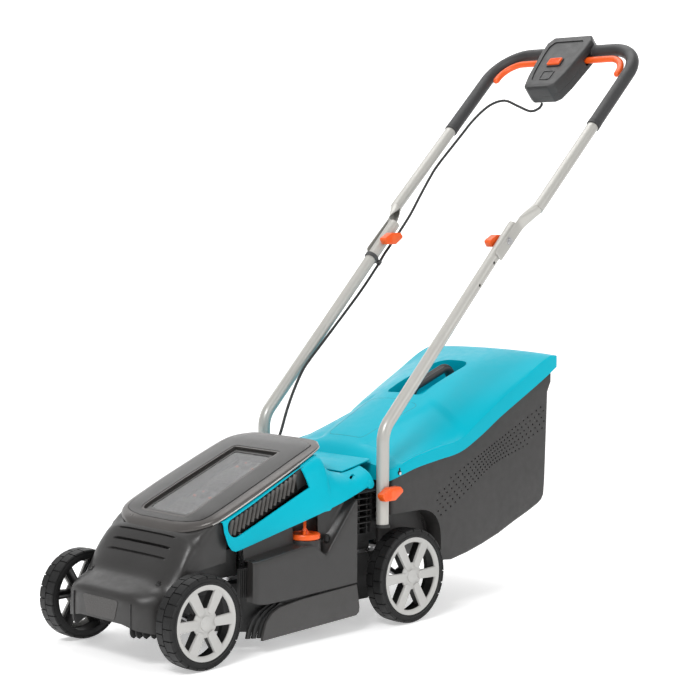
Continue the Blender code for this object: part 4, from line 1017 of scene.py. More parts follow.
def deck_row(u, front_pull):
    """One cross-section of a deck side: up the wall, over the ridge, in along the ledge and up to the cover."""
    (ridge,) = between(ridge_stations, u)
    (low,) = between(side_low, u)
    out = 0.172 - front_pull
    top = cover_low(u) + 0.006
    scoop = min(max((u - 0.296) / 0.05, 0.0), 1.0)
    foot_x = 0.1425 + 0.01 * scoop
    foot_z = ridge + 0.0035 + 0.01 * scoop
    points = [at(out, u, low + (ridge - 0.004 - low) * i / 6) for i in range(7)]
    points += [at(out - 0.0004, u, ridge - 0.0018), at(out - 0.0018, u, ridge), at(out - 0.0045, u, ridge + 0.0006)]
    inner = min(foot_x, out - 0.0055)
    for i in range(1, 9):
        t = i / 8
        points.append(
            at(
                out - 0.0045 + (inner - out + 0.0045) * t, u,
                ridge + 0.0006 + (min(foot_z, top - 0.002) - ridge - 0.0006) * t**1.6
            )
        )
    last = points[-1]
    points += [at(last.x - 0.0012 * i, u, last.z + (top - last.z) * i / 3) for i in range(1, 4)]
    return points


knob_at = at(0.1412, 0.2857, 0)
skirt_grey = moulded("skirt_grey", (0.046, 0.044, 0.043), 0.46, relief=0.25, edge=0.0)
for side, way in sides.items():
    turn = Matrix.Diagonal((way, 1, 1))
    rows = []
    for i in range(68):
        u = 0.13 + 0.266 * i / 67
        rows.append([turn @ p for p in deck_row(u, 0.005 * max(0.0, 1 - i / 2.5) ** 2)])
    rows.insert(0, [Vector((way * min(abs(p.x), 0.15 + 0.0005 * k), p.y, p.z)) for k, p in enumerate(rows[0])])
    bm = skin(rows)
    face_up(bm, at(0, 0.26, 0.13))
    panel = show(f"side_panel_{side}", bm, dark_plastic, "deck", [f"deck_side_{side}"], 48)
    wall(panel, thick_wall)
    bm = bmesh.new()
    disc(bm, at(way * 0.156, 0.138, 0.176), 0.0042, 0.03, "Z", 20)
    disc(bm, at(way * 0.158, 0.3265, 0.2068), 0.004, 0.04, "Z", 20)
    if side == "left":
        disc(bm, knob_at + Vector((0, 0, 0.217)), 0.0312, 0.047, "Z", 48)
    carve(panel, bm, angle=48)
    bm = bmesh.new()
    disc(bm, at(way * 0.156, 0.138, 0.168), 0.0055, 0.012, "Z", 20)
    disc(bm, at(way * 0.158, 0.3265, 0.192), 0.0055, 0.012, "Z", 20)
    show(f"side_screws_{side}", bm, shadow_black, "deck")

# The boss under the knob and the curved wall behind it.
bm = bmesh.new()
boss = [(0.0305, 0.16), (0.0305, 0.1915), (0.0298, 0.193), (0.0285, 0.1935), (0.006, 0.1935), (0.006, 0.16)]
lathe(bm, boss, 64)
back_outer, back_inner, back_low, back_high = 0.0345, 0.0312, 0.166, 0.2365
angles = [math.radians(3 + 174 * i / 30) for i in range(31)]
corners = ((back_outer, back_low), (back_outer, back_high), (back_inner, back_high), (back_inner, back_low))
loops = [[Vector((-r * math.sin(a), r * math.cos(a), z)) for a in angles] for r, z in corners]
draw_out(bm, [bm.verts.new(p) for p in loops[0]], loops[1:] + loops[:1])
bmesh.ops.remove_doubles(bm, verts=bm.verts, dist=1e-6)
bmesh.ops.recalc_face_normals(bm, faces=bm.faces)
bmesh.ops.translate(bm, vec=knob_at, verts=bm.verts)
show("knob_boss", bm, dark_plastic, "deck", angle=40)

# The grass combs: a lighter skirt with a curved front, and three thin curved combs ahead of it.
for side, way in sides.items():
    skirt = [
        (0.15, 0.025), (0.153, 0.04), (0.161, 0.058), (0.174, 0.072), (0.193, 0.081), (0.25, 0.088),
        (0.396, 0.0955), (0.404, 0.05), (0.4025, 0.04), (0.395, 0.0345)
    ]
    bm = bmesh.new()
    side_plate(bm, skirt, way, 0.166, 0.1722)
    crown = [e for e in bm.edges if all(abs(abs(v.co.x) - 0.1722) < 1e-5 for v in e.verts)]
    soften(bm, crown, 0.0014, 3)
    show(f"comb_skirt_{side}", bm, skirt_grey, "deck", [f"grass_comb_{side}"])
    bm = bmesh.new()
    for i in range(3):
        front = 0.126 + 0.0095 * i
        comb = [
            (front, 0.03), (front + 0.004, 0.046), (front + 0.013, 0.062), (front + 0.03, 0.076),
            (front + 0.056, 0.088), (front + 0.07, 0.08), (front + 0.044, 0.069), (front + 0.024, 0.056),
            (front + 0.013, 0.042), (front + 0.009, 0.029)
        ]
        side_plate(bm, comb, way, 0.15 + 0.005 * i, 0.1545 + 0.005 * i)
    for i in range(5):
        block(
            bm, at(way * 0.1475 - 0.004, 0.112 + 0.0045 * i, 0.105),
            at(way * 0.1475 + 0.004, 0.1135 + 0.0045 * i, 0.16), wide=0.0004
        )
    show(f"comb_teeth_{side}", bm, black_plastic, "deck")

# ------------------------------------------------------------------ height knob
# A turned and winged knob in orange nylon that sets the cutting height.
# It stands on a stem in the left boss and clicks into three positions.

bm = bmesh.new()
knob = [
    (0.0275, 0.1938), (0.029, 0.1952), (0.029, 0.202), (0.0278, 0.2038), (0.024, 0.2044), (0.0232, 0.203),
    (0.008, 0.203), (0.0066, 0.2075), (0.0002, 0.208), (0.0002, 0.1938)
]
lathe(bm, knob, 56)
bmesh.ops.recalc_face_normals(bm, faces=bm.faces)
turn = Matrix.Rotation(math.radians(-46), 4, "Z")
stand = turn @ Matrix(((1, 0, 0, 0), (0, 0, -1, 0), (0, 1, 0, 0), (0, 0, 0, 1)))
fin = rounded(
    [(-0.025, 0.2015), (0.025, 0.2015), (0.012, 0.21), (0.0042, 0.2303), (-0.0042, 0.2303), (-0.012, 0.21)],
    [0.0005, 0.0005, 0.008, 0.003, 0.003, 0.008], 5
)
prism(bm, fin, -0.0024, 0.0024, stand)
cross = turn @ Matrix(((0, 0, 1, 0), (1, 0, 0, 0), (0, 1, 0, 0), (0, 0, 0, 1)))
prism(bm, [(-0.011, 0.2015), (0.011, 0.2015), (0.003, 0.213), (-0.003, 0.213)], -0.0018, 0.0018, cross)
bmesh.ops.translate(bm, vec=knob_at, verts=bm.verts)
show("height_knob_cap", bm, orange_plastic, "height_knob", ["height_knob"])

# ------------------------------------------------------------------ post brackets
# Black ribbed sockets at the rear corners of the deck, which hold the feet of the handle.
# Each is moulded as a lattice of thin ribs with a cup under the tube.

post_x, post_u = 0.1688, 0.4687
for side, way in sides.items():
    bm = bmesh.new()
    for low, high in (
        ((0.1275, 0.3995, 0.165), (0.13, 0.4915, 0.27)), ((0.13, 0.3995, 0.172), (0.156, 0.4015, 0.27)),
        ((0.13, 0.489, 0.2), (0.1553, 0.4912, 0.268))
    ):
        block(bm, at(way * low[0], low[1], low[2]), at(way * high[0], high[1], high[2]), wide=0.0004)
    for u in (0.422, 0.444, 0.456):
        block(bm, at(way * 0.13, u, 0.186), at(way * 0.15, u + 0.0018, 0.268), wide=0.0004)
    for i in range(8):
        z = 0.183 + 0.0118 * i
        reach = 0.1553 if z > 0.2 else 0.1456
        block(bm, at(way * 0.13, 0.4, z), at(way * reach, 0.453 if z < 0.26 else 0.4905, z + 0.0018), wide=0.0004)
        if z > 0.2:
            block(bm, at(way * 0.13, 0.48, z), at(way * reach, 0.4908, z + 0.0018), wide=0.0004)
    for v in bm.verts:
        v.co.x = way * abs(v.co.x)
    bmesh.ops.recalc_face_normals(bm, faces=bm.faces)
    show(f"bracket_ribs_{side}", bm, black_plastic, "deck", [f"handle_bracket_{side}"])
    bm = bmesh.new()
    disc(bm, at(way * post_x, post_u, 0.1995), 0.0148, 0.006, "Z", 36, top=0.014)
    show(f"post_cup_{side}", bm, black_plastic, "deck")

# ------------------------------------------------------------------ rear flap
# A turquoise flap over the chute, sprung shut against the grass box.
# It is moulded with a thicker hinge edge at its front.

bm = bmesh.new()
hinge_place = slope(0.3985, 0.3085, 11.0)
prism(
    bm,
    rounded(
        [(-0.1245, 0.0015), (0.1245, 0.0015), (0.1245, 0.0855), (-0.1245, 0.0855)], [0.002, 0.002, 0.008, 0.008]
    ),
    -0.003, 0.0, hinge_place
)
soften(bm, square_edges(bm), 0.0009)
show("chute_flap", bm, cyan_plastic, "rear_flap", ["rear_flap"])

# ------------------------------------------------------------------ grass box
# A dark polypropylene tub with a band of air holes in each side, hooked on behind the chute.
# Its walls are 2.5 mm thick, with rounded corners and a step under the lid.


def lid_edge(u):
    """Height of the lid's lower side edge."""
    return between(
        [
            (0.4855, 0.2835), (0.552, 0.303), (0.62, 0.3135), (0.69, 0.324), (0.75, 0.35), (0.814, 0.385),
            (0.9, 0.4273), (1.003, 0.478)
        ],
        u
    )[0]


tub_grey = moulded("tub_grey", (0.031, 0.0295, 0.0287), 0.5, grain=900.0, relief=0.35, edge=0.0)
tub_top = [
    (u, lid_edge(u) - 0.0015)
    for u in (0.97, 0.93, 0.89, 0.85, 0.814, 0.78, 0.75, 0.72, 0.69, 0.66, 0.62, 0.58, 0.552, 0.52)
]
tub_line = [
    (0.4975, lid_edge(0.4975) - 0.0015),
    (0.4975, 0.1550),
    (0.5050, 0.1500),
    (0.6000, 0.1500),
    (0.6350, 0.1200),
    (0.6550, 0.1050),
    (0.6820, 0.1024),
    (0.7300, 0.1105),
    (0.7790, 0.1224),
    (0.8300, 0.1375),
    (0.8800, 0.1565),
    (0.9300, 0.1740),
    (0.9600, 0.1860),
    (0.9715, 0.1930),
    (0.9790, 0.2046),
    (0.9820, 0.2400),
    (0.9877, 0.4250),
    (0.9985, 0.4450),
    (0.9985, 0.4655),
]
bm = bmesh.new()
prism(bm, tub_line + tub_top, -0.165, 0.165, side_on)
soft = []
for e in bm.edges:
    a, b = e.verts
    u0, u1 = a.co.y - axle_y, b.co.y - axle_y
    flat = abs(abs(a.co.x) - 0.165) < 1e-5 and abs(a.co.x - b.co.x) < 1e-5
    under = a.co.z < lid_edge(
        min(max(u0, 0.4975), 1.0)
    ) - 0.004 or b.co.z < lid_edge(min(max(u1, 0.4975), 1.0)) - 0.004
    if flat and (under or min(u0, u1) > 0.98):
        soft.append(e)
soften(bm, soft, 0.0085, 5, clamp_overlap=True)
tub = show("tub_shell", bm, tub_grey, "grass_box", ["box_tub"], 40)
bm = bmesh.new()
inner_line = [
    (min(max(u, 0.5), 0.9955), z)
    for u, z in [
        (0.4975, 0.45), (0.4975, 0.153), (0.6015, 0.153), (0.636, 0.1235), (0.656, 0.1078), (0.682, 0.105),
        (0.779, 0.1252), (0.88, 0.1595), (0.96, 0.1895), (0.97, 0.197), (0.9765, 0.206), (0.985, 0.4265),
        (0.9955, 0.446), (0.9955, 0.6), (0.8, 0.6)
    ]
]
prism(bm, inner_line, -0.1622, 0.1622, side_on)
carve(tub, bm)
# The wheel arches, with a round corner behind the wheel, and the mouth at the front.
arch = rounded([(0.4, 0.05), (0.645, 0.05), (0.645, 0.217), (0.4, 0.217)], [0.001, 0.001, 0.07, 0.001], 10)
bm = bmesh.new()
for way in sides.values():
    side_plate(bm, arch, way, 0.1275, 0.2)
block(bm, at(-0.118, 0.48, 0.155), at(0.118, 0.515, 0.268))
carve(tub, bm)
bm = bmesh.new()
run, rise = 0.338, 0.144
for way in sides.values():
    for j in range(6):
        for i in range(30):
            t = (i + 0.5 * (j % 2)) / 29.5
            first, last = {0: (0.1, 1.0), 5: (0.0, 0.88)}.get(j, (0.0, 1.0))
            if not first <= t <= last:
                continue
            s = t + 0.3 * math.sin(math.tau * t) / math.tau
            down = (0.0095 + 0.0018 * math.cos(math.tau * t)) * j
            disc(
                bm, at(way * 0.165, 0.63 + run * s + 0.12 * down, 0.249 + rise * s + 0.004 - down), 0.0021, 0.012,
                "X", 8
            )
carve(tub, bm)

# Inner walls of the wheel arches, so that the box is closed behind the wheels.
bm = bmesh.new()
line = [(0.4985, 0.217), *arch[32:21:-1], (0.645, 0.125)]
for way in sides.values():
    outer = [(u + 0.0018, z + 0.0018) for u, z in line]
    side_plate(bm, line + outer[::-1], way, 0.126, 0.1625)
    side_plate(bm, [(0.4985, 0.152), *line[:-1], (0.645, 0.152)], way, 0.1253, 0.1275)
show("tub_arches", bm, tub_grey, "grass_box")

# ------------------------------------------------------------------ grass box lid
# The turquoise lid snaps over the tub and is fastened by a screw at each front corner.
# A pocket in its top leaves room for fingers under the carrying handle.

lid_stations = [
    (0.4855, 0.1680, 0.3040, 0.3220),
    (0.5050, 0.1720, 0.3090, 0.3410),
    (0.5300, 0.1750, 0.3180, 0.3535),
    (0.5570, 0.1760, 0.3256, 0.3660),
    (0.6200, 0.1760, 0.3370, 0.3935),
    (0.6900, 0.1760, 0.3490, 0.4240),
    (0.7500, 0.1760, 0.3840, 0.4500),
    (0.8140, 0.1760, 0.4200, 0.4710),
    (0.8800, 0.1760, 0.4540, 0.4900),
    (0.9400, 0.1760, 0.4860, 0.5030),
    (0.9800, 0.1750, 0.5010, 0.5100),
    (1.0030, 0.1730, 0.5010, 0.5080),
]


def ease(value, start, end):
    """0 before a start and 1 after an end, with a soft slope between."""
    t = min(max((value - start) / (end - start), 0.0), 1.0)
    return t * t * (3 - 2 * t)


lid_round, panel_high = 0.0014, 0.005


def crown_z(x, half, upper, crest):
    """Height of the lid's crown at a distance from its middle."""
    return upper + 0.0016 + (crest - upper - 0.0016) * (1 - (abs(x) / (half - lid_round)) ** 2.3)


def lid_row(u, thinner=0.0, drop=0.0):
    """One cross-section of the lid: up its side band and over its crown, with the raised panel in the middle."""
    half, upper, crest = between(lid_stations, u)
    low = lid_edge(u)
    half -= thinner
    points = [at(half, u, low - drop + (upper - thinner - low + drop) * i / 3) for i in range(4)]
    points.append(at(half - lid_round, u, upper - thinner + 0.0016))
    panel = 0.0527 + (0.0753 - 0.0527) * min(max((u - 0.528) / 0.157, 0.0), 1.0)
    along = ease(u, 0.512, 0.53) * (1 - ease(u, 0.7, 0.712))
    for i in range(1, 25):
        x = (half - lid_round) * (1 - i / 24)
        z = crown_z(x, half, upper, crest) - panel_high * along * ease(x, panel, panel + 0.01)
        points.append(at(x, u, z - thinner))
    return with_mirror(points)


def closed_lid(thinner, drop, first, last, count):
    """The lid as a solid block, or the hollow inside it when it is made thinner."""
    bm = skin([lid_row(first + (last - first) * i / (count - 1), thinner, drop) for i in range(count)])
    edge = [e for e in bm.edges if e.is_boundary]
    starts = [
        [
            e
            for e in edge if all(
                way * v.co.x > 0.15 for v in e.verts
            ) and abs(e.verts[0].co.y - e.verts[1].co.y) > 1e-6
        ]
        for way in (1, -1)
    ]
    bmesh.ops.bridge_loops(bm, edges=starts[0] + starts[1])
    bmesh.ops.holes_fill(bm, edges=[e for e in bm.edges if e.is_boundary], sides=0)
    bmesh.ops.recalc_face_normals(bm, faces=bm.faces)
    return bm


pocket_place = slope(0.7, 0.4275, 19.3)


def pocket_line(grow):
    """The outline of the lid's pocket, grown all round."""
    return rounded(
        [
            (-0.05 - grow, 0.005 - grow), (0.05 + grow, 0.005 - grow), (0.044 + grow, 0.185 + grow),
            (-0.044 - grow, 0.185 + grow)
        ],
        [0.018 + grow, 0.018 + grow, 0.034 + grow, 0.034 + grow], 8
    )


lid = show(
    "lid_shell", closed_lid(0.0, 0.0, 0.4855, 1.003, 84), cyan_plastic, "grass_box", ["box_lid"], 30
)
bm = bmesh.new()
prism(bm, pocket_line(0.0), -0.045, 0.06, pocket_place)
carve(lid, bm, angle=30)
hollow = show("lid_hollow", closed_lid(0.0028, 0.02, 0.4885, 1.0, 60), cyan_plastic, "grass_box")
bm = bmesh.new()
prism(bm, pocket_line(0.0028), -0.0478, 0.06, pocket_place)
carve(hollow, bm)
inside = bmesh.new()
inside.from_mesh(hollow.data)
bpy.data.objects.remove(hollow)
carve(lid, inside, angle=30)

# A fine darker teal line round the front of the raised panel: painted shade in its groove.
groove_shade_teal = moulded("groove_shade_teal", (0.0, 0.16, 0.2), 0.5)
outline = rounded([(-0.048, 0.534), (0.048, 0.534), (0.069, 0.68), (-0.069, 0.68)], [0.016, 0.016, 0.012, 0.012], 8)
points = []
for a, b in zip(outline, outline[1:] + outline[:1]):
    for k in range(6):
        t = k / 6
        x, u = a[0] + (b[0] - a[0]) * t, a[1] + (b[1] - a[1]) * t
        half, upper, crest = between(lid_stations, u)
        points.append(at(x, u, crown_z(x, half, upper, crest) - 0.00035))
points.append(points[0])
show("lid_outline", rod(points, 0.0006, 1, False), groove_shade_teal, "grass_box")

# Screws in keyholes at the front corners of the lid.
bm = bmesh.new()
for way in sides.values():
    disc(bm, at(way * 0.173, 0.512, 0.299), 0.0045, 0.002, "X", 24)
    block(bm, at(way * 0.1725, 0.5106, 0.302), at(way * 0.1738, 0.5134, 0.3085))
show("lid_keyholes", bm, shadow_black, "grass_box")
bm = bmesh.new()
for way in sides.values():
    disc(bm, at(way * 0.1742, 0.5122, 0.2975), 0.003, 0.0016, "X", 24)
show("lid_screws", bm, zinc, "grass_box")

# ------------------------------------------------------------------ carrying handle
# A dark ribbed nylon arch across the pocket in the lid, screwed on from below.
# Its rear foot stands on a round boss of the lid.

grip_black = moulded("grip_black", (0.04, 0.04, 0.041), 0.42, grain=900.0, relief=0.3, edge=0.35)


def bend_route(corners, radii, step=0.1):
    """The corners joined by straight runs, with each inner corner bent to its radius."""
    points = [Vector(corners[0])]
    for before, corner, after, radius in zip(corners, corners[1:], corners[2:], radii):
        here = Vector(corner)
        to_before = (Vector(before) - here).normalized()
        to_after = (Vector(after) - here).normalized()
        half = to_before.angle(to_after) / 2
        reach = radius / math.tan(half)
        middle = here + (to_before + to_after).normalized() * radius / math.sin(half)
        first, last = here + to_before * reach - middle, here + to_after * reach - middle
        sweep = first.angle(last)
        count = max(3, round(sweep / step))
        for i in range(count + 1):
            t = i / count
            points.append(
                middle + (first * math.sin((1 - t) * sweep) + last * math.sin(t * sweep)) / math.sin(sweep)
            )
    points.append(Vector(corners[-1]))
    return points


def arch_line(x, lift):
    """The route of the carrying handle at a distance from its middle, lifted off its centre line."""
    corners = [
        (x, 0.026 - lift * 0.6, -0.0446), (x, 0.026 - lift * 0.6, -0.003 + lift),
        (x, 0.158 + lift * 0.6, -0.001 + lift), (x, 0.158 + lift * 0.6, -0.0446)
    ]
    return [pocket_place @ p for p in bend_route(corners, [0.024, 0.024])]


bm = rod(arch_line(0, 0), 0.0086, 6)
bmesh.ops.scale(bm, vec=(1.42, 1, 1), verts=bm.verts)
show("lid_handle", bm, grip_black, "grass_box", ["box_handle"])
for i in range(5):
    x = -0.0076 + 0.0038 * i
    lift = 0.0086 * math.sqrt(1 - (x / 0.0122) ** 2) - 0.0002
    run = arch_line(x, lift)
    show(f"lid_handle_rib_{i}", rod(run[3:-3], 0.0011, 2), grip_black, "grass_box")
bm = bmesh.new()
disc(bm, (0, 0.158, -0.0375), 0.0185, 0.0145, "Z", 40, top=0.015)
disc(bm, (0, 0.026, -0.04), 0.0175, 0.0095, "Z", 40, top=0.015)
bmesh.ops.transform(bm, matrix=pocket_place, verts=bm.verts)
show("lid_handle_feet", bm, cyan_plastic, "grass_box")

# ------------------------------------------------------------------ lower handle
# Two bent 25 mm steel tubes in light warm grey powder coat, standing in the sockets.
# A cross bolt and an orange wing nut hold each foot, and spare holes near the top set the handle's height.

slant = {"lower": 45.5, "upper": 43.8}
post_foot, post_bend = 0.197, 0.3847
bolt_u = post_u + 0.5096 * math.cos(math.radians(slant["lower"]))
bolt_z = post_bend + 0.5096 * math.sin(math.radians(slant["lower"]))
lower_place = slope(bolt_u, bolt_z, slant["lower"])
upper_place = slope(bolt_u, bolt_z, slant["upper"])
tube_radius = 0.0125


def painted(name, colour, roughness):
    """Powder coat on steel: a fine orange peel, a soft clear sheen and a few rubbed patches."""
    made, tree, shader, where = shade(name, roughness, 0.25, Coat_Weight=0.35, Coat_Roughness=0.18)
    tone = two_tone(tree, noise_of(tree, where, 14.0, 4.0), [c * 0.96 for c in colour], colour)
    link_up(tree, tone, "Color", shader, "Base Color")
    rough_range(tree, noise_of(tree, where, 70.0, 4.0), shader, roughness - 0.05, roughness + 0.07)
    bump_up(tree, noise_of(tree, where, 160.0, 2.0), "Fac", shader, 0.05, 0.0002)
    return made


grey_paint = painted("grey_paint", (0.47, 0.46, 0.43), 0.34)
top_end = lower_place @ Vector((0, 0.045, 0))
for side, way in sides.items():
    shift = Vector((way * post_x, 0, 0))
    route = bend_route(
        [at(0, post_u, post_foot) + shift, at(0, post_u, post_bend) + shift, top_end + shift], [0.055], 0.07
    )
    tube = show(
        f"post_tube_{side}", rod(route, tube_radius, 8), grey_paint, "deck", [f"lower_tube_{side}"]
    )
    bm = bmesh.new()
    for along in (-0.062, -0.125):
        disc(bm, (way * (post_x + 0.0112), along, 0), 0.0034, 0.008, "X", 20, frame_to_world=lower_place)
    carve(tube, bm)
    bm = bmesh.new()
    for along in (-0.062, -0.125):
        disc(bm, (way * (post_x + 0.0085), along, 0), 0.0033, 0.002, "X", 20, frame_to_world=lower_place)
    show(f"spare_holes_{side}", bm, shadow_black, "deck")


def wing_nut(name, place, low, high, body, node, outer_way):
    """A long winged nut with eased edges, a raised middle and grip ribs at one end."""
    a, b = 0.028, 0.0125
    outline = [
        (-a, -0.3 * b), (-0.75 * a, -b), (0.25 * a, -b), (a, 0.1 * b), (a, 0.5 * b), (0.75 * a, b), (-0.25 * a, b),
        (-a, 0.1 * b)
    ]
    bm = bmesh.new()
    prism(bm, rounded(outline, 0.0012, 3), low, high, place)
    soften(bm, square_edges(bm), 0.0009)
    face = high if outer_way > 0 else low
    disc(bm, (0, 0, face), 0.0072, 0.0016, "Z", 28, frame_to_world=place)
    for i in range(5):
        y = -0.0215 + 0.0036 * i
        prism(
            bm, [(y, -0.0095), (y + 0.0014, -0.0095), (y + 0.0014, 0.005), (y, 0.005)], face - 0.0007,
            face + 0.0007, place
        )
    return show(name, bm, orange_plastic, body, [node])


def side_face(where):
    """From (along Y, along Z, along X) to the world, starting at a point."""
    return Matrix.Translation(where) @ Matrix(((0, 0, 1, 0), (1, 0, 0, 0), (0, 1, 0, 0), (0, 0, 0, 1)))


for side, way in sides.items():
    low, high = sorted((way * (post_x + tube_radius + 0.0003), way * (post_x + tube_radius + 0.0163)))
    wing_nut(
        f"foot_nut_{side}", side_face(at(0, post_u, 0.264)), low, high, f"lower_knob_{side}", f"lower_knob_{side}",
        way
    )

# ------------------------------------------------------------------ upper handle
# A wide loop of the same tube, with its two ends pressed into straps that lie on the lower tubes.
# A bolt and an inner wing nut at each side let it fold down over the mower.

grip_x, bar_s = 0.2015, 0.607
strap_rows = [
    (-0.0465, 0.1828, 0.0006, 0.0100, 90),
    (-0.0445, 0.1828, 0.0010, 0.0122, 90),
    (-0.0380, 0.1828, 0.0012, 0.0130, 90),
    (0.0400, 0.1828, 0.0012, 0.0130, 90),
    (0.0480, 0.1829, 0.0014, 0.0132, 91),
    (0.0560, 0.1837, 0.0040, 0.0135, 103),
    (0.0680, 0.1872, 0.0085, 0.0138, 128),
    (0.0820, 0.1930, 0.0113, 0.0132, 156),
    (0.0900, 0.1968, 0.0122, 0.0127, 170),
    (0.0980, 0.2000, 0.0125, 0.0125, 179),
]
for side, way in sides.items():
    rows = []
    for i in range(49):
        s = -0.0465 + 0.1445 * i / 48
        x, deep, tall, spread = between(strap_rows, s)
        arc = [math.radians(spread) * (1 - k / 12) for k in range(25)]
        rows.append([upper_place @ Vector((way * (x + deep * math.cos(a)), s, tall * math.sin(a))) for a in arc])
    bm = skin(rows)
    bmesh.ops.recalc_face_normals(bm, faces=bm.faces)
    middle = upper_place @ Vector((way * 0.1688, 0.0, 0))
    nearest = min(bm.faces, key=lambda f: (f.calc_center_median() - middle).length)
    if (nearest.calc_center_median() - middle).dot(nearest.normal) < 0:
        bmesh.ops.reverse_faces(bm, faces=bm.faces)
    strap = show(f"clasp_{side}", bm, grey_paint, "upper_handle")
    wall(strap, 0.0012)

half_loop = [(grip_x - 0.0006, 0.095, 0), (grip_x, 0.108, 0), (grip_x, bar_s, 0)]
loop = [upper_place @ Vector(c) for c in half_loop + [(-x, s, n) for x, s, n in reversed(half_loop)]]
show(
    "handle_loop", rod(bend_route(loop, [0.05, 0.085, 0.085, 0.05], 0.07), tube_radius, 8), grey_paint,
    "upper_handle", ["upper_tube"]
)

dress(zinc, "upper_bolt_left", "upper_bolt_right")
bm = bmesh.new()
for way in sides.values():
    disc(bm, (way * 0.1845, 0, 0), 0.0078, 0.0018, "X", 32, frame_to_world=upper_place)
show("clasp_washers", bm, zinc, "upper_handle")
for side, way in sides.items():
    inner = post_x - tube_radius - 0.0003
    low, high = sorted((way * (inner - 0.016), way * inner))
    wing_nut(
        f"clasp_nut_{side}", side_face(upper_place.translation), low, high, f"upper_knob_{side}",
        f"upper_knob_{side}", -way
    )

# ------------------------------------------------------------------ grips
# Soft dark sleeves slid over the loop from below its corners up to the control box.
# Each ends in a thicker collar, and bulges a little round the outside of the corner.

grip_soft = moulded("grip_soft", (0.03, 0.03, 0.031), 0.5, grain=700.0, relief=0.5, edge=0.3)
for side, way in sides.items():
    corners = [(way * grip_x, 0.35, 0), (way * grip_x, bar_s, 0), (way * 0.065, bar_s, 0)]
    route = bend_route([upper_place @ Vector(c) for c in corners], [0.085], 0.06)
    show(f"grip_sleeve_{side}", rod(route, 0.0144, 8), grip_soft, "upper_handle", [f"grip_{side}"])
    bm = bmesh.new()
    for s, r in ((0.353, 0.0148), (0.361, 0.0147)):
        disc(bm, (way * grip_x, s, 0), r, 0.0044, "Y", 40, frame_to_world=upper_place)
    disc(bm, (way * 0.07, bar_s, 0), 0.0148, 0.006, "X", 40, frame_to_world=upper_place)
    show(f"grip_collars_{side}", bm, grip_soft, "upper_handle")

# ------------------------------------------------------------------ control box
# Two black shells screwed together round the middle of the bar, with a recessed top.
# They hold the start button's switch and the bail's pivot.

box_grey = moulded("box_grey", (0.022, 0.022, 0.0225), 0.42, relief=0.25, edge=0.5)
bar_low, bar_high = bar_s - 0.15, bar_s + 0.03


def box_line(shrink, radius):
    """The control box's outline from above, shrunk about its middle."""
    half = [
        (0.03, bar_low), (0.044, bar_low + 0.01), (0.053, bar_low + 0.045), (0.063, bar_low + 0.125),
        (0.064, bar_high - 0.02), (0.052, bar_high)
    ]
    middle = (bar_low + bar_high) / 2 + 0.01
    corners = [(x * shrink, middle + (s - middle) * shrink) for x, s in half]
    radii = [radius * r for r in (0.9, 0.8, 1.6, 1.4, 1.0, 0.9)]
    return rounded([(-x, s) for x, s in corners] + [(x, s) for x, s in reversed(corners)], radii + radii[::-1], 5)


for name, node, low, high in (
    ("control_shell_top", "control_box_upper", 0.0004, 0.0262),
    ("control_shell_base", "control_box_lower", -0.02, 0.0)
):
    bm = bmesh.new()
    prism(bm, box_line(1.0, 0.008), low, high, upper_place)
    outer = high if low >= 0 else low
    crown = [e for e in bm.edges if all(abs((upper_place.inverted() @ v.co).z - outer) < 1e-5 for v in e.verts)]
    soften(bm, crown, 0.0065, 4)
    shell = show(name, bm, box_grey, "upper_handle", [node])
    bm = bmesh.new()
    slot_low, slot_high = bar_s - 0.0415, bar_s - 0.0145
    prism(
        bm, [(-0.1, slot_low), (0.1, slot_low), (0.1, slot_high), (-0.1, slot_high)], -0.0088, 0.0088, upper_place
    )
    disc(bm, (0, bar_s, 0), 0.0128, 0.2, "X", 32, frame_to_world=upper_place)
    if low >= 0:
        prism(bm, box_line(0.76, 0.007), high - 0.0022, high + 0.01, upper_place)
    carve(shell, bm, angle=40)

bm = bmesh.new()
window = [(-0.0195, 0.5325), (0.0195, 0.5325), (0.0195, 0.5595), (-0.0195, 0.5595)]
frame_of(
    bm, rounded(window, 0.005), rounded([(x * 0.89, 0.546 + (s - 0.546) * 0.82) for x, s in window], 0.003), 0.023,
    0.0262, upper_place
)
lower_window = [(-0.015, 0.488), (0.015, 0.488), (0.0165, 0.518), (-0.0165, 0.518)]
frame_of(
    bm, rounded(lower_window, 0.005),
    rounded([(x * 0.86, 0.503 + (s - 0.503) * 0.86) for x, s in lower_window], 0.004), 0.023, 0.0254, upper_place
)
show("control_frames", bm, box_grey, "upper_handle")
dress(board, "control_board")

bm = bmesh.new()
block(bm, (-0.0168, 0.5358, 0.0225), (0.0168, 0.5562, 0.03), wide=0.0016)
for i in range(4):
    block(bm, (-0.014, 0.5385 + 0.0044 * i, 0.0296), (0.014, 0.54 + 0.0044 * i, 0.0312), wide=0.0005)
bmesh.ops.transform(bm, matrix=upper_place, verts=bm.verts)
show("start_button_cap", bm, orange_plastic, "start_button", ["start_button"])

# ------------------------------------------------------------------ start bail
# A flattened orange bar under the bar and the grips, pulled up with both hands to run the motor.
# It is one nylon moulding, pivoted inside the control box.

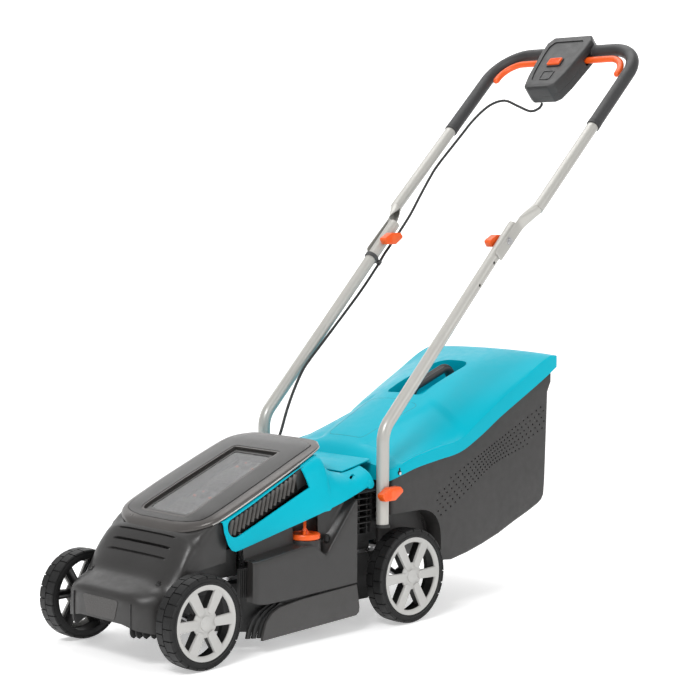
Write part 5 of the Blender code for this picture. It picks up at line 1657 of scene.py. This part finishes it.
reach = grip_x - 0.03
corners = [
    (-reach, bar_s - 0.082, 0), (-reach, bar_s - 0.03, 0), (reach, bar_s - 0.03, 0), (reach, bar_s - 0.082, 0)
]
route = bend_route([Vector(c) for c in corners], [0.05, 0.05], 0.07)
bm = rod(route, 0.008, 6)
bmesh.ops.scale(bm, vec=(1, 1, 0.86), verts=bm.verts)
for way in sides.values():
    fresh = bmesh.ops.create_uvsphere(bm, u_segments=20, v_segments=12, radius=0.008)["verts"]
    bmesh.ops.scale(bm, vec=(1, 1.3, 0.86), verts=fresh)
    bmesh.ops.translate(bm, vec=(way * reach, bar_s - 0.0815, 0), verts=fresh)
bmesh.ops.transform(bm, matrix=upper_place, verts=bm.verts)
show("bail_bar", bm, orange_plastic, "start_bail", ["start_bail"])

# ------------------------------------------------------------------ cable
# A black 6 mm control cable from the control box, down the right-hand tubes to a gland in the deck.
# It is held by one clip on the lower tube, and hangs in an easy bow above the deck.


def smooth_route(knots, spacing):
    """Points about a spacing apart on a smooth curve through the knots."""
    points = []
    ends = [knots[0] * 2 - knots[1], *knots, knots[-1] * 2 - knots[-2]]
    for a, b, c, d in zip(ends, ends[1:], ends[2:], ends[3:]):
        steps = max(2, round((c - b).length / spacing))
        for i in range(steps):
            t = i / steps
            points.append(
                0.5 * (2 * b + (c - a) * t + (2 * a - 5 * b + 4 * c - d) * t * t + (3 * b - a - 3 * c + d) * t**3)
            )
    points.append(knots[-1])
    return points


cable_black = moulded("cable_black", (0.012, 0.012, 0.012), 0.45, grain=500.0, relief=0.2, edge=0.0)
upper_knots = [
    (-0.0160, 0.4650, -0.0240),
    (-0.0200, 0.4560, -0.0300),
    (-0.0400, 0.4445, -0.0300),
    (-0.0720, 0.4470, -0.0140),
    (-0.1030, 0.4500, 0.0000),
    (-0.1380, 0.4350, 0.0000),
    (-0.1660, 0.3980, -0.0080),
    (-0.1800, 0.3500, -0.0150),
    (-0.1840, 0.2537, -0.0135),
    (-0.1810, 0.2106, -0.0135),
    (-0.1720, 0.1446, -0.0150),
    (-0.1660, 0.0959, -0.0175),
    (-0.1625, 0.0471, -0.0180),
    (-0.1615, 0.0000, -0.0185),
    (-0.1600, -0.0300, -0.0180),
    (-0.1570, -0.0500, -0.0175),
]
lower_knots = [
    (-0.1570, -0.0640, -0.0172),
    (-0.1560, -0.1294, -0.0172),
    (-0.1530, -0.1863, -0.0129),
    (-0.1500, -0.2930, -0.0047),
    (-0.1470, -0.3516, 0.0011),
    (-0.1420, -0.3884, 0.0041),
    (-0.1370, -0.4370, -0.0024),
    (-0.1320, -0.4802, -0.0120),
]
tail = [(-0.129, 0.476, 0.35), (-0.13, 0.463, 0.333), (-0.134, 0.447, 0.3235), (-0.1385, 0.4345, 0.3195)]
upper_run = smooth_route([upper_place @ Vector(k) for k in upper_knots], 0.008)
lower_run = smooth_route([lower_place @ Vector(k) for k in lower_knots] + [at(*k) for k in tail], 0.008)
show("cable_run_upper", rod(upper_run, 0.003, 4), cable_black, "deck", ["cable_upper"])
show("cable_run_lower", rod(lower_run, 0.003, 4), cable_black, "deck", ["cable_lower"])
dress(grip_black, "cable_clip")
dress(black_plastic, "cable_gland")

# ------------------------------------------------------------------ studio
# A pale floor and soft lights, with the camera in front and to the left of the mower.
# The camera stands low, a little above the axle height, with a long lens.

floor_mesh = bmesh.new()
bmesh.ops.create_grid(floor_mesh, x_segments=1, y_segments=1, size=12.0)
floor_data = bpy.data.meshes.new("floor")
floor_mesh.to_mesh(floor_data)
floor_mesh.free()
floor = bpy.data.objects.new("floor", floor_data)
floor.location.z = -0.0004
bpy.context.scene.collection.objects.link(floor)
floor_paint, tree, shader, where = shade("floor_paint", 0.85)
pale = two_tone(tree, noise_of(tree, where, 0.6), (0.86, 0.86, 0.86), (0.89, 0.89, 0.89))
link_up(tree, pale, "Color", shader, "Base Color")
shader.inputs["Emission Color"].default_value = (1.0, 1.0, 1.0, 1)
shader.inputs["Emission Strength"].default_value = 0.42
floor_data.materials.append(floor_paint)
backdrop = bpy.data.objects.new("backdrop", floor_data.copy())
backdrop.data.materials.clear()
glow, tree, shader, where = shade("backdrop_glow", 0.9)
pale = two_tone(tree, noise_of(tree, where, 0.4), (0.86, 0.86, 0.86), (0.89, 0.89, 0.89))
link_up(tree, pale, "Color", shader, "Base Color")
shader.inputs["Emission Color"].default_value = (1.0, 1.0, 1.0, 1)
shader.inputs["Emission Strength"].default_value = 0.8
backdrop.data.materials.append(glow)
backdrop.matrix_world = Matrix.Translation((-6.0, 6.0, 0)) @ Vector((1, -1, 0)).to_track_quat("Z", "Y").to_matrix().to_4x4()
bpy.context.scene.collection.objects.link(backdrop)

world = bpy.data.worlds.new("studio_air")
world.use_nodes = True
world.node_tree.nodes["Background"].inputs["Color"].default_value = (1.0, 1.0, 1.0, 1)
world.node_tree.nodes["Background"].inputs["Strength"].default_value = 0.5
bpy.context.scene.world = world


def softbox(name, place, target, size, power):
    light = bpy.data.lights.new(name, "AREA")
    light.shape = "RECTANGLE"
    light.size, light.size_y = size
    light.energy = power
    lamp = bpy.data.objects.new(name, light)
    lamp.location = place
    lamp.rotation_euler = (Vector(target) - Vector(place)).to_track_quat("-Z", "Y").to_euler()
    bpy.context.scene.collection.objects.link(lamp)


softbox("key", (1.2, -2.6, 2.8), (0, 0, 0.4), (1.2, 0.9), 62)
softbox("fill", (3.0, 0.6, 1.6), (0, 0, 0.4), (1.6, 1.6), 14)
softbox("top", (-0.6, 0.6, 3.2), (0, 0, 0.3), (2.0, 2.0), 34)

lens = bpy.data.cameras.new("camera")
lens.sensor_width = 36.0
lens.lens = 93.63
camera = bpy.data.objects.new("camera", lens)
heading, tilt, roll = math.radians(44.438), math.radians(4.458), math.radians(0.339)
back = Vector((math.sin(heading) * math.cos(tilt), -math.cos(heading) * math.cos(tilt), math.sin(tilt)))
right = Vector((math.cos(heading), math.sin(heading), 0))
up = back.cross(right)
right, up = right * math.cos(roll) + up * math.sin(roll), up * math.cos(roll) - right * math.sin(roll)
turn = Matrix((right, up, back)).transposed().to_4x4()
camera.matrix_world = Matrix.Translation((2.5719, axle_y - 2.0746, 0.8138)) @ turn
bpy.context.scene.collection.objects.link(camera)
bpy.context.scene.camera = camera

# Plain colours, with no film curve over them.
bpy.context.scene.view_settings.view_transform = "Standard"
